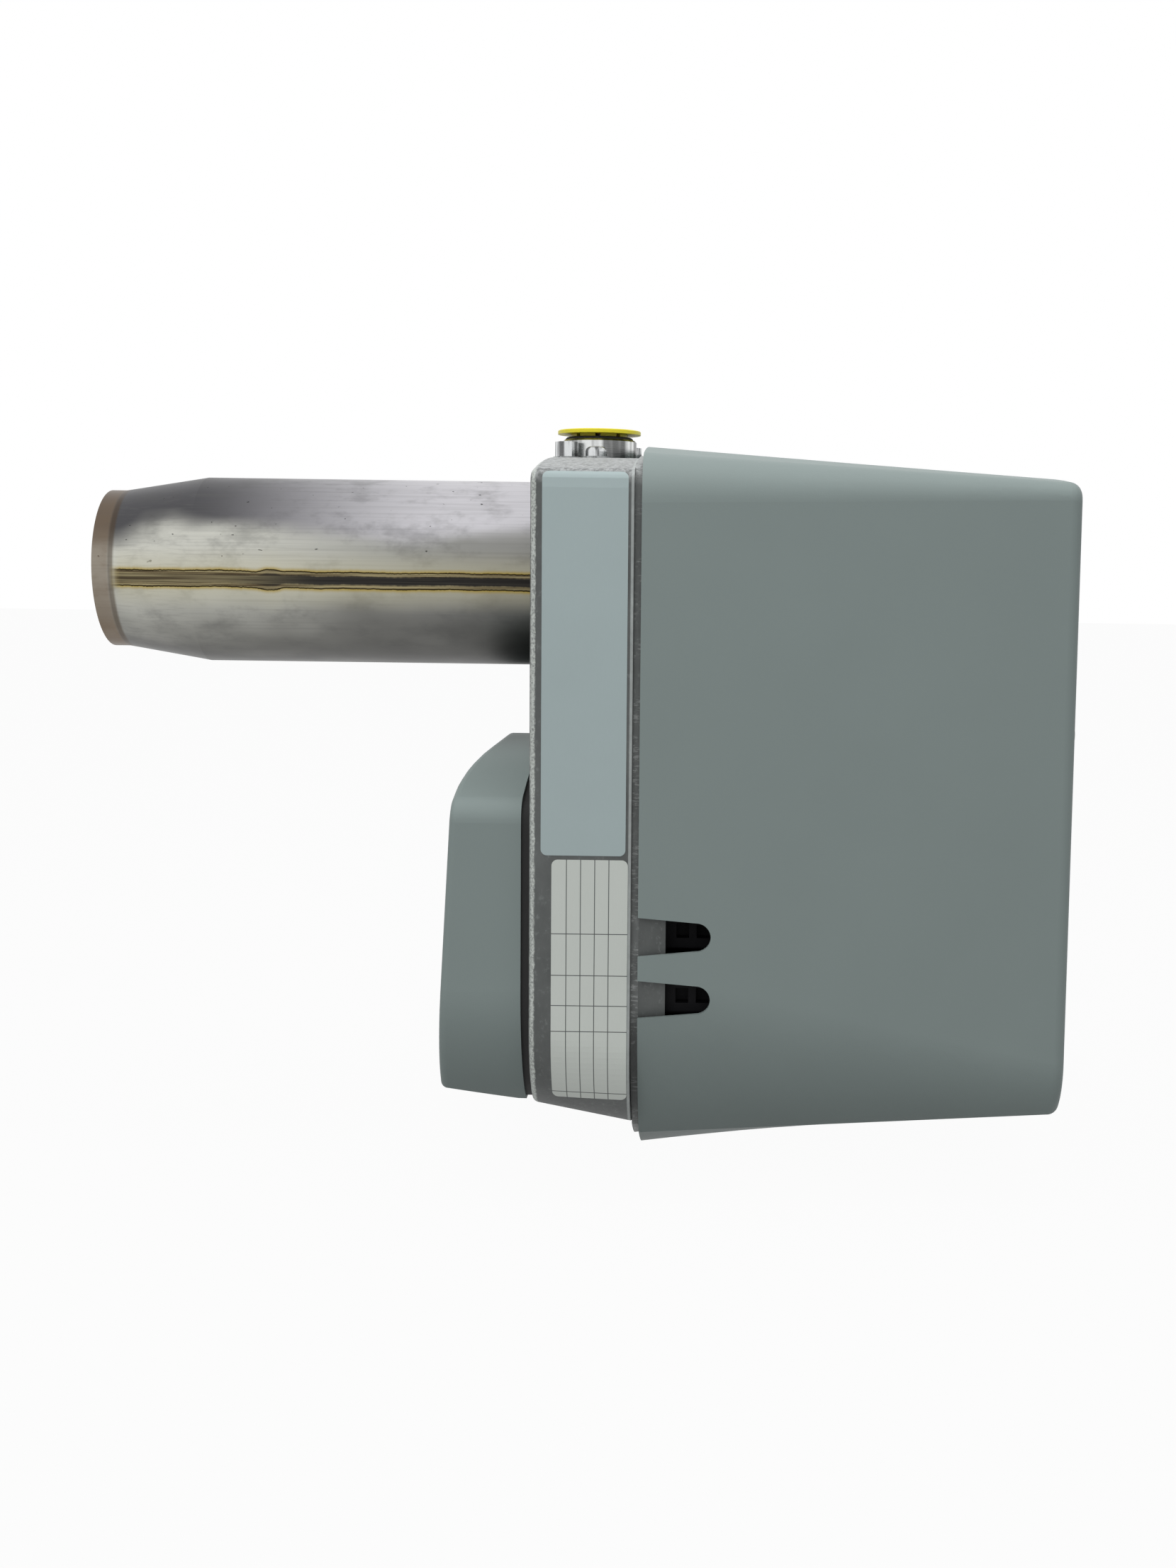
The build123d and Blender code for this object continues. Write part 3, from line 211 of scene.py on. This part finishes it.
# ---------------------------------------------------------------- materials
def rolled_stainless():
    """Tube of rolled sheet: a welded seam along its near side, straw heat tint, clouds of oxide, and painted
    light: reflection bands along the flank and crown, and painted shade on the belly and on the lower tube
    next to the casting.
    """
    p = Paint("rolled stainless", (0.45, 0.45, 0.43), 0.32, 1.0)
    x, y, z = p.xyz()
    near_side = y.step(-10 * mm, -22 * mm)
    clouds = p.noise(24 * mm, 2.0, 0.5, (0.5, 1.0, 1.0))
    patches = p.noise(11 * mm, 4.0, 0.65, (0.6, 1.0, 1.0))
    streaks = p.noise(1.0 * mm, 3.0, 0.6, (0.012, 0.5, 1.0))
    # height wanders with the clouds and places the painted reflection and shade bands below
    height = z + (clouds - 0.5) * (26 * mm)
    # Painted reflection bands, each keeping its own tone from the mouth to the casting: a light flank, a
    # crown that is dark at the mouth and light towards the casting, a darker stripe near the top, and a belly
    # darkened as painted shade
    flank_painted_reflection = p.mix(x.step(-150 * mm, -20 * mm), (0.60, 0.60, 0.545), (0.285, 0.285, 0.27))
    painted_light_crown = p.mix(x.step(-158 * mm, -35 * mm), (0.085, 0.084, 0.090), (0.62, 0.61, 0.64))
    colour = p.mix(height.step(9 * mm, 22 * mm), flank_painted_reflection, painted_light_crown)
    colour = p.mix(height.step(40 * mm, 54 * mm) * 0.6, colour, (0.16, 0.16, 0.165))
    colour = p.mix(height.step(4 * mm, -40 * mm) * 0.95, colour, (0.085, 0.084, 0.080))
    colour = p.mix(patches.step(0.46, 0.72) * 0.34, colour, (0.10, 0.10, 0.098))
    colour = p.mix(streaks.step(0.45, 0.75) * 0.22, colour, (0.15, 0.15, 0.145))
    # Painted shade on the lower tube just in front of the casting, broken into patches by the clouds
    painted_shade_near_casting = x.step(-34 * mm, -12 * mm) * z.step(-14 * mm, -30 * mm)
    colour = p.mix(painted_shade_near_casting * clouds.step(0.30, 0.62) * 0.75, colour, (0.035, 0.034, 0.033))
    pits = p.noise(1.9 * mm, 1.0, 0.4, (0.7, 1.0, 1.0)).step(0.765, 0.785) * z.step(-2 * mm, 6 * mm)
    colour = p.mix(pits * 0.8, colour, (0.03, 0.03, 0.03))
    # Turned-in lip, browned by heat, with a dark line behind it
    lip = x.step(-186 * mm, -188 * mm)
    lip_line = (x + 186.0 * mm).band(0.0, 0.5 * mm, 1.4 * mm)
    colour = p.mix(lip * (0.55 + 0.35 * patches), colour, (0.185, 0.135, 0.090))
    colour = p.mix(lip_line * 0.72, colour, (0.085, 0.060, 0.038))
    # Welded seam: streaky brown bead with a dark core, dark edges, and gold tint outside them
    seam_height = -4.1 * mm
    wander = (p.noise(26 * mm, 2.0, 0.5, (1.0, 0.1, 0.1)) - 0.5) * (2.2 * mm)
    blob = (x + 117 * mm).band(0.0, 1.5 * mm, 4.5 * mm) * (0.9 * mm)
    tremble = (p.noise(1.6 * mm, 3.0, 0.6, (1.0, 0.1, 0.1)) - 0.5) * (0.7 * mm)
    offset = abs(z - seam_height + wander) - blob + tremble
    on_tube = x.step(-187 * mm, -181 * mm) * near_side
    lines = p.noise(0.55 * mm, 3.0, 0.65, (0.010, 0.02, 1.0))
    bead = offset.step(3.45 * mm, 3.1 * mm) * on_tube
    core = offset.step(2.3 * mm, 1.4 * mm) * on_tube * (0.35 + 0.65 * x.step(-150 * mm, -95 * mm))
    edge = (offset - 3.35 * mm).band(0.0, 0.12 * mm, 0.30 * mm) * on_tube
    gold = offset.step(5.4 * mm, 3.3 * mm) * on_tube
    straw = offset.step(15 * mm, 3.0 * mm) * on_tube
    colour = p.mix(straw * 0.42, colour, (0.50, 0.47, 0.31))
    colour = p.mix(gold * (0.70 + 0.25 * patches), colour, (0.40, 0.28, 0.030))
    bronze = p.mix(lines.step(0.34, 0.66), (0.070, 0.050, 0.036), (0.44, 0.38, 0.22))
    colour = p.mix(bead * 0.92, colour, bronze)
    colour = p.mix(core * 0.97, colour, p.mix(lines, (0.006, 0.006, 0.007), (0.055, 0.052, 0.050)))
    colour = p.mix(edge * 0.95, colour, (0.012, 0.009, 0.006))
    p.feed(p.shader.inputs["Base Color"], colour)
    p.feed(p.shader.inputs["Roughness"], 0.28 + 0.10 * streaks + 0.12 * patches + 0.14 * bead)
    p.bump(bead * (0.6 + 0.4 * lines) * 0.4 - edge * 0.2 + streaks * 0.02 - pits * 0.25, 0.6 * mm, 0.6)
    return p.material


def sheet_stainless():
    """Brushed sheet, with its grain along the tube."""
    steel = (0.58, 0.58, 0.56)
    p = Paint("brushed sheet steel", steel, 0.32, 1.0)
    grain = p.noise(0.8 * mm, 2.0, 0.5, (0.06, 1.0, 1.0))
    clouds = p.noise(18 * mm)
    p.shade(lighter(steel, 0.88), lighter(steel, 1.06), grain * 0.5 + clouds * 0.4)
    p.rough(0.26, 0.44, grain)
    p.bump(grain, 0.05 * mm)
    return p.material


def cast_aluminium():
    """Dark die-cast metal, stained and flecked, with scuffs on its collar, and painted highlights on its
    crown, along its front edge and in a thin line at its rear edge.
    """
    metal = (0.088, 0.094, 0.092)
    p = Paint("dark cast aluminium", metal, 0.5, 0.3)
    x, y, z = p.xyz()
    grain = p.noise(0.9 * mm, 4.0, 0.65)
    flecks = p.noise(2.0 * mm, 4.0, 0.7, (1.0, 1.0, 0.6))
    stains = p.noise(16 * mm, 4.0, 0.65, (1.0, 1.0, 0.6))
    body = p.mix((stains * 1.4 - 0.25).clamped(), lighter(metal, 0.72), lighter(metal, 1.45))
    body = p.mix(flecks.step(0.56, 0.72) * 0.5, body, (0.19, 0.205, 0.20))
    # Painted highlight: the crown of the casting is lighter, broken up by flecks
    painted_light_crown = z.step(33 * mm, 41 * mm)
    body = p.mix(painted_light_crown * (0.25 + 0.75 * flecks.step(0.36, 0.62)), body, (0.42, 0.435, 0.435))
    # Painted highlight along the front edge, made ragged by the flecks
    ragged = (flecks - 0.5) * (1.8 * mm)
    front_edge_painted_highlight = (x + ragged).step(2.6 * mm, 1.9 * mm) * (x + ragged * 0.5).step(0.1 * mm, 0.6 * mm)
    body = p.mix(front_edge_painted_highlight * (0.35 + 0.65 * grain.step(0.35, 0.60)), body, (0.52, 0.55, 0.52))
    collar = x.step(39.6 * mm, 39.9 * mm) * x.step(42.6 * mm, 42.4 * mm)
    scuffs = p.noise(1.3 * mm, 3.0, 0.7, (0.25, 0.25, 1.0)).step(0.50, 0.60)
    scuffs = scuffs * p.noise(11 * mm).step(0.46, 0.56)
    body = p.mix(collar * (0.15 + 0.75 * scuffs), body, (0.26, 0.27, 0.265))
    # Painted highlight: a thin light line along the rear edge
    rear_edge_painted_highlight = (x - 38.9 * mm).band(0.0, 0.35 * mm, 0.35 * mm)
    body = p.mix(rear_edge_painted_highlight * (0.4 + 0.5 * flecks), body, (0.42, 0.45, 0.44))
    p.feed(p.shader.inputs["Base Color"], body)
    p.rough(0.40, 0.62, grain)
    p.bump(grain * 0.5 + flecks * 0.5, 0.16 * mm)
    return p.material


def hood_plastic():
    """Blue-grey moulded plastic with a fine spark-eroded grain and little shine."""
    grey = (0.213, 0.254, 0.246)
    p = Paint("blue-grey moulded plastic", grey, 0.52, 0.0, Specular_IOR_Level=0.22)
    grain = p.noise(0.55 * mm, 2.0, 0.6)
    clouds = p.noise(45 * mm, 2.0)
    p.shade(lighter(grey, 0.95), lighter(grey, 1.05), clouds * 0.7 + grain * 0.3)
    p.rough(0.46, 0.60, grain)
    p.bump(grain, 0.035 * mm)
    return p.material


def plain_plastic(name, colour, low=0.35, high=0.52, grain_size=0.7 * mm, shine=0.5):
    p = Paint(name, colour, 0.45, 0.0, Specular_IOR_Level=shine)
    grain = p.noise(grain_size, 2.0, 0.6)
    clouds = p.noise(20 * mm)
    p.shade(lighter(colour, 0.92), lighter(colour, 1.08), clouds * 0.6 + grain * 0.4)
    p.rough(low, high, grain)
    p.bump(grain, 0.03 * mm)
    return p.material


def plain_metal(name, colour, low=0.24, high=0.42, stretch=(1.0, 1.0, 1.0)):
    p = Paint(name, colour, 0.3, 1.0)
    grain = p.noise(0.7 * mm, 3.0, 0.6, stretch)
    clouds = p.noise(9 * mm)
    p.shade(lighter(colour, 0.86), lighter(colour, 1.08), clouds * 0.6 + grain * 0.4)
    p.rough(low, high, grain * 0.6 + clouds * 0.4)
    p.bump(grain, 0.03 * mm)
    return p.material


def turned_aluminium():
    """Turned metal: bright, with darker upright bands painted in as reflections."""
    metal = (0.66, 0.67, 0.665)
    p = Paint("turned aluminium", metal, 0.24, 1.0)
    lathe = p.noise(0.35 * mm, 2.0, 0.5, (0.05, 0.05, 1.0))
    # Upright light and dark bands, from 0.17 to 1.28 of the metal's colour, are painted reflections
    painted_reflection_bands = p.noise(6.5 * mm, 2.0, 0.6, (1.0, 1.0, 0.04))
    p.shade(lighter(metal, 0.17), lighter(metal, 1.28), painted_reflection_bands.step(0.40, 0.60) * 0.85 + lathe * 0.15)
    p.rough(0.20, 0.36, lathe)
    p.bump(lathe, 0.03 * mm)
    return p.material


def bright_zinc():
    """Zinc-plated steel with a clear chromate, and bright faces and darker flanks painted in as upright
    reflection bands.
    """
    metal = (0.62, 0.635, 0.64)
    p = Paint("zinc-plated steel", metal, 0.24, 1.0)
    grain = p.noise(0.7 * mm, 3.0, 0.6)
    # Upright light and dark bands are painted reflections
    painted_reflection_bands = p.noise(3.2 * mm, 2.0, 0.6, (1.0, 1.0, 0.08))
    p.shade(lighter(metal, 0.16), lighter(metal, 1.25), painted_reflection_bands.step(0.36, 0.56) * 0.85 + grain * 0.15)
    p.rough(0.18, 0.34, grain)
    p.bump(grain, 0.03 * mm)
    return p.material


def moulded_yellow():
    yellow = (0.74, 0.655, 0.022)
    p = Paint("yellow polythene", yellow, 0.38, 0.0, Subsurface_Weight=0.08, Subsurface_Scale=2 * mm)
    clouds = p.noise(7 * mm)
    scuffs = p.noise(1.1 * mm, 3.0, 0.6, (1.0, 1.0, 0.3))
    p.shade(lighter(yellow, 0.9), lighter(yellow, 1.05), clouds)
    p.rough(0.30, 0.48, scuffs)
    p.bump(scuffs, 0.04 * mm)
    return p.material


def seal_rubber():
    p = Paint("black seal rubber", (0.018, 0.018, 0.018), 0.75)
    pores = p.noise(0.5 * mm, 3.0, 0.7)
    p.shade((0.012, 0.012, 0.012), (0.030, 0.030, 0.030), pores)
    p.rough(0.62, 0.85, pores)
    p.bump(pores, 0.08 * mm)
    return p.material


def glazed_ceramic():
    p = Paint("glazed alumina", (0.80, 0.77, 0.70), 0.2, 0.0, Coat_Weight=0.5)
    specks = p.noise(0.8 * mm, 4.0, 0.7)
    p.shade((0.76, 0.73, 0.66), (0.86, 0.84, 0.78), specks)
    p.rough(0.14, 0.26, specks)
    p.bump(specks, 0.02 * mm)
    return p.material


def clear_cover(name, tint):
    p = Paint(name, tint, 0.08, 0.0, Transmission_Weight=0.92, IOR=1.49)
    haze = p.noise(6 * mm)
    p.rough(0.05, 0.14, haze)
    p.shade(lighter(tint, 0.96), tint, haze)
    return p.material


def foil(name, silver, grid=None):
    """Printed foil; grid gives the places of fine printed lines across and along it."""
    p = Paint(name, silver, 0.42, 0.2)
    grain = p.noise(0.6 * mm, 2.0, 0.6, (1.0, 1.0, 0.2))
    clouds = p.noise(30 * mm)
    colour = p.mix(clouds * 0.6 + grain * 0.4, lighter(silver, 0.94), lighter(silver, 1.07))
    if grid:
        x, y, z = p.xyz()
        columns, rows = grid
        line = 0.0
        for place in columns:
            line = x.band(place, 0.12 * mm, 0.10 * mm) + line
        for place in rows:
            line = z.band(place, 0.12 * mm, 0.10 * mm) + line
        colour = p.mix(line.clamped() * 0.92, colour, (0.045, 0.05, 0.05))
    p.feed(p.shader.inputs["Base Color"], colour)
    p.rough(0.36, 0.50, grain)
    p.bump(grain, 0.02 * mm)
    return p.material


finishes = {
    "stainless": sheet_stainless(),
    "diecast": cast_aluminium(),
    "grey_plastic": hood_plastic(),
    "black_plastic": plain_plastic("black moulded plastic", (0.007, 0.007, 0.008), 0.45, 0.65, shine=0.12),
    "black_rubber": seal_rubber(),
    "yellow_plastic": moulded_yellow(),
    "zinc_steel": bright_zinc(),
    "machined_aluminium": turned_aluminium(),
    "dark_steel": plain_metal("dark steel", (0.16, 0.16, 0.165), 0.35, 0.55),
    "copper": plain_metal("lacquered copper wire", (0.62, 0.27, 0.12), 0.25, 0.38, (0.2, 1.0, 1.0)),
    "brass": plain_metal("turned brass", (0.66, 0.47, 0.18)),
    "white_ceramic": glazed_ceramic(),
    "clear_glass": clear_cover("clear glass", (0.90, 0.93, 0.92)),
    "clear_plastic": clear_cover("clear moulded cover", (0.88, 0.91, 0.93)),
    "red_plastic": plain_plastic("red button plastic", (0.55, 0.03, 0.02), 0.22, 0.34),
    "light_plastic": plain_plastic("light grey plastic", (0.52, 0.52, 0.50)),
    "motor_paint": plain_plastic("black motor paint", (0.035, 0.036, 0.038), 0.38, 0.55, grain_size=1.0 * mm),
}
special = {"blast_tube": rolled_stainless()}
for subpart in frame["record"]["subparts"]:
    name = subpart["node"]
    finish = special.get(name, finishes[subpart["material_slot"]])
    for holder in nodes[name].material_slots:
        holder.material = finish
    if not nodes[name].material_slots:
        nodes[name].data.materials.append(finish)


# ---------------------------------------------------------------- helpers for pieces
def new_piece(name, mesh, material, body="root"):
    piece = bpy.data.objects.new(name, mesh)
    bpy.context.scene.collection.objects.link(piece)
    mesh.materials.clear()
    mesh.materials.append(material)
    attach(piece, body)
    return piece


def surface_of(name):
    """Search tree over a CAD node's surface, for laying thin plates on it."""
    mesh = nodes[name].data
    return BVHTree.FromPolygons([v.co for v in mesh.vertices], [p.vertices[:] for p in mesh.polygons])


def near_side_plate(name, node, x_span, z_span, corner, thickness, material):
    """Thin plate with rounded corners that lies on the near side of a CAD node, following its curve."""
    surface = surface_of(node)
    in_front = -0.3
    seat_gap = 0.02 * mm
    columns, corner_rows, middle_rows = 12, 8, 40
    low, high = z_span
    curve = [corner * (1 - math.cos(math.pi / 2 * step / corner_rows)) for step in range(corner_rows)]
    straight = [corner + (high - low - 2 * corner) * step / middle_rows for step in range(middle_rows + 1)]
    heights = [low + h for h in curve + straight] + [high - h for h in reversed(curve)]
    rows = len(heights) - 1
    grid = bmesh.new()
    top_layer = []
    for z in heights:
        edge = min(z - low, high - z)
        pull = 0.0
        if edge < corner:
            pull = corner - math.sqrt(max(0.0, corner ** 2 - (corner - edge) ** 2))
        line = []
        for column in range(columns + 1):
            x = x_span[0] + pull + (x_span[1] - x_span[0] - 2 * pull) * column / columns
            hit, normal, _, _ = surface.ray_cast(Vector((x, in_front, z)), Vector((0, 1, 0)))
            if normal.y > 0:
                normal = -normal
            line.append((hit + normal * thickness, hit + normal * seat_gap))
        top_layer.append(line)
    outer = [[grid.verts.new(a) for a, b in line] for line in top_layer]
    inner = [[grid.verts.new(b) for a, b in line] for line in top_layer]
    for row in range(rows):
        for column in range(columns):
            corners = ((row, column), (row, column + 1), (row + 1, column + 1), (row + 1, column))
            grid.faces.new([outer[r][c] for r, c in corners])
            grid.faces.new([inner[r][c] for r, c in reversed(corners)])
    border = [(0, c) for c in range(columns)] + [(r, columns) for r in range(rows)]
    border += [(rows, c) for c in range(columns, 0, -1)] + [(r, 0) for r in range(rows, 0, -1)]
    for (r0, c0), (r1, c1) in zip(border, border[1:] + border[:1]):
        grid.faces.new([outer[r1][c1], outer[r0][c0], inner[r0][c0], inner[r1][c1]]).tag = True
    bmesh.ops.recalc_face_normals(grid, faces=grid.faces)
    for face in grid.faces:
        face.smooth = not face.tag
    mesh = bpy.data.meshes.new(name)
    grid.to_mesh(mesh)
    grid.free()
    return new_piece(name, mesh, material, "root")


# ---------------------------------------------------------------- bare plates
plate_thickness = 0.25 * mm
plate_corner = 2.4 * mm
column_start = 9.25
column_pitch = 5.44
near_side_plate(
    "upper_plate", "fan_housing", (4.7 * mm, 37.3 * mm), (-107.8 * mm, 38.2 * mm),
    plate_corner, plate_thickness,
    foil("plain foil", (0.335, 0.403, 0.405)),
)
near_side_plate(
    "lower_plate", "fan_housing", (8.9 * mm, 38.3 * mm), (-205.5 * mm, -109.4 * mm),
    plate_corner, plate_thickness,
    foil("foil with a printed grid", (0.52, 0.55, 0.515),
         ([(column_start + column_pitch * i) * mm for i in range(1, 5)],
          [row_height * mm for row_height in (-138.3, -154.6, -166.5, -176.7, -202.8)])),
)


# ---------------------------------------------------------------- rows of small pieces
def row_tree():
    """Geometry nodes that set copies of a template in a straight row."""
    group = bpy.data.node_groups.new("row of copies", "GeometryNodeTree")
    sockets = {}
    for name, kind in (("Template", "Object"), ("Start", "Vector"), ("Offset", "Vector"),
                       ("Count", "Int"), ("Finish", "Material")):
        made = group.interface.new_socket(name, in_out="INPUT", socket_type=f"NodeSocket{kind}")
        sockets[name] = made.identifier
    group.interface.new_socket("Geometry", in_out="OUTPUT", socket_type="NodeSocketGeometry")
    tree = Nodes(group)
    given = tree.node("NodeGroupInput").outputs
    template = tree.node("GeometryNodeObjectInfo", {}, {"Object": given["Template"]})
    row = tree.node("GeometryNodeMeshLine", {}, {
        "Start Location": given["Start"], "Offset": given["Offset"], "Count": given["Count"],
    })
    copies = tree.node("GeometryNodeInstanceOnPoints", {}, {
        "Points": row.outputs["Mesh"], "Instance": template.outputs["Geometry"],
    })
    realised = tree.node("GeometryNodeRealizeInstances", {}, {"Geometry": copies.outputs["Instances"]})
    painted = tree.node("GeometryNodeSetMaterial", {}, {
        "Geometry": realised.outputs["Geometry"], "Material": given["Finish"],
    })
    tree.node("NodeGroupOutput", {}, {"Geometry": painted.outputs["Geometry"]})
    return group, sockets


row_of_copies, row_sockets = row_tree()


def piece_from_row(name, template_mesh, start, offset, count, material):
    """A row of copies of the template as one plain mesh piece on the fixed body."""
    scene_objects = bpy.context.scene.collection.objects
    template = bpy.data.objects.new(name + " template", template_mesh)
    carrier = bpy.data.objects.new(name + " carrier", bpy.data.meshes.new(name + " carrier"))
    scene_objects.link(template)
    scene_objects.link(carrier)
    modifier = carrier.modifiers.new("row", "NODES")
    modifier.node_group = row_of_copies
    for socket, value in (("Template", template), ("Start", start), ("Offset", offset),
                          ("Count", count), ("Finish", material)):
        modifier[row_sockets[socket]] = value
    bpy.context.view_layer.update()
    evaluated = carrier.evaluated_get(bpy.context.evaluated_depsgraph_get())
    mesh = bpy.data.meshes.new_from_object(evaluated)
    mesh.name = name
    carrier.modifiers.remove(modifier)
    bpy.data.objects.remove(carrier)
    bpy.data.objects.remove(template)
    return new_piece(name, mesh, material, "root")


def socket_head_mesh(radius, height):
    """Low domed screw head with a hexagon socket, standing along X from the origin."""
    around = 36
    socket_radius = 0.52 * radius
    socket_floor = 0.15 * height
    rings = [
        (0.0, radius, False), (0.45 * height, radius, False), (0.8 * height, 0.93 * radius, False),
        (height, 0.72 * radius, False), (height, socket_radius, True), (socket_floor, socket_radius, True),
    ]
    head = bmesh.new()
    made = []
    for rise, reach, hexagon in rings:
        ring = []
        for step in range(around):
            turn = 2 * math.pi * step / around
            out = reach
            if hexagon:
                out = reach * math.cos(math.pi / 6) / math.cos((turn % (math.pi / 3)) - math.pi / 6)
            ring.append(head.verts.new((rise, out * math.cos(turn), out * math.sin(turn))))
        made.append(ring)
    for lower, upper in zip(made, made[1:]):
        for step in range(around):
            following = (step + 1) % around
            head.faces.new([lower[step], lower[following], upper[following], upper[step]])
    head.faces.new(list(reversed(made[0])))
    head.faces.new(made[-1])
    bmesh.ops.recalc_face_normals(head, faces=head.faces)
    mesh = bpy.data.meshes.new("socket head")
    head.to_mesh(mesh)
    head.free()
    return mesh


head_height = 0.8 * mm
head_gap = 0.02 * mm
screws_low, screws_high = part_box("hood_screws")
screw_radius = (screws_high.z - screws_low.z) / 2
hood_screw_heads = piece_from_row(
    "hood_screw_heads", socket_head_mesh(screw_radius, head_height),
    (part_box("hood")[1].x + head_gap, screws_low.y + screw_radius, (screws_low.z + screws_high.z) / 2),
    (0.0, screws_high.y - screws_low.y - 2 * screw_radius, 0.0), 2, finishes["dark_steel"],
)
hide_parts("hood_screws")


# ---------------------------------------------------------------- floor, light and camera
lowest = cad_box[0].z


def shown_white(nodes, lit, white, share):
    """Shows the eye, metal and glass a share of a white shader, and everything else the lit one."""
    path = nodes.node("ShaderNodeLightPath").outputs
    seen = Term(nodes, path["Is Camera Ray"]).high(Term(nodes, path["Is Glossy Ray"]))
    seen = seen.high(Term(nodes, path["Is Transmission Ray"])) * share
    mixer = nodes.node("ShaderNodeMixShader", {}, {0: seen, 1: lit.outputs[0], 2: white.outputs[0]})
    return mixer.outputs[0]


def make_floor():
    mesh = bpy.data.meshes.new("floor")
    reach = 12.0
    mesh.from_pydata([(-reach, -reach, lowest), (reach, -reach, lowest), (reach, reach, lowest),
                      (-reach, reach, lowest)], [], [(0, 1, 2, 3)])
    floor = bpy.data.objects.new("floor", mesh)
    bpy.context.scene.collection.objects.link(floor)
    paint = Paint("pale floor", (0.28, 0.28, 0.28), 0.9)
    glow = paint.node("ShaderNodeEmission", {}, {"Strength": 1.0})
    paint.feed(paint.tree.nodes["Material Output"].inputs[0], shown_white(paint, paint.shader, glow, 0.96))
    mesh.materials.append(paint.material)


def make_world():
    world = bpy.data.worlds.new("studio")
    world.use_nodes = True
    bpy.context.scene.world = world
    sky = Nodes(world.node_tree)
    dim = sky.tree.nodes["Background"]
    sky.feed(dim.inputs["Color"], (0.97, 0.985, 1.0))
    sky.feed(dim.inputs["Strength"], 0.45)
    white = sky.node("ShaderNodeBackground", {}, {"Color": (1.0, 1.0, 1.0)})
    sky.feed(sky.tree.nodes["World Output"].inputs[0], shown_white(sky, dim, white, 1.0))


def area_light(name, place, aim, size, power):
    """Soft lamp that lights surfaces and isn't mirrored in them."""
    data = bpy.data.lights.new(name, "AREA")
    data.shape = "RECTANGLE"
    data.size, data.size_y = size
    data.energy = power
    lamp = bpy.data.objects.new(name, data)
    bpy.context.scene.collection.objects.link(lamp)
    lamp.visible_glossy = False
    lamp.location = place
    lamp.rotation_euler = (Vector(aim) - Vector(place)).to_track_quat("-Z", "Y").to_euler()


make_floor()
make_world()
area_light("overhead softbox", (0.05, -0.25, 1.3), (0.0, 0.0, 0.0), (1.6, 1.0), 16.0)
area_light("front softbox", (-0.35, -1.55, 0.75), (0.05, 0.0, -0.14), (1.0, 1.0), 11.5)

# The camera's place, in the object's frame, with its lens turned a little down and to one side
pitch_down = 6.05
roll = 0.78
camera_data = bpy.data.cameras.new("camera")
camera_data.lens = 43.95
camera_data.shift_x = -0.0771
camera = bpy.data.objects.new("camera", camera_data)
bpy.context.scene.collection.objects.link(camera)
look = Matrix.Rotation(math.radians(90.0 - pitch_down), 4, "X") @ Matrix.Rotation(math.radians(roll), 4, "Z")
camera.matrix_world = Matrix.Translation((0.069, -0.850, -0.0022)) @ look
bpy.context.scene.camera = camera

bpy.context.scene.view_settings.view_transform = "Standard"
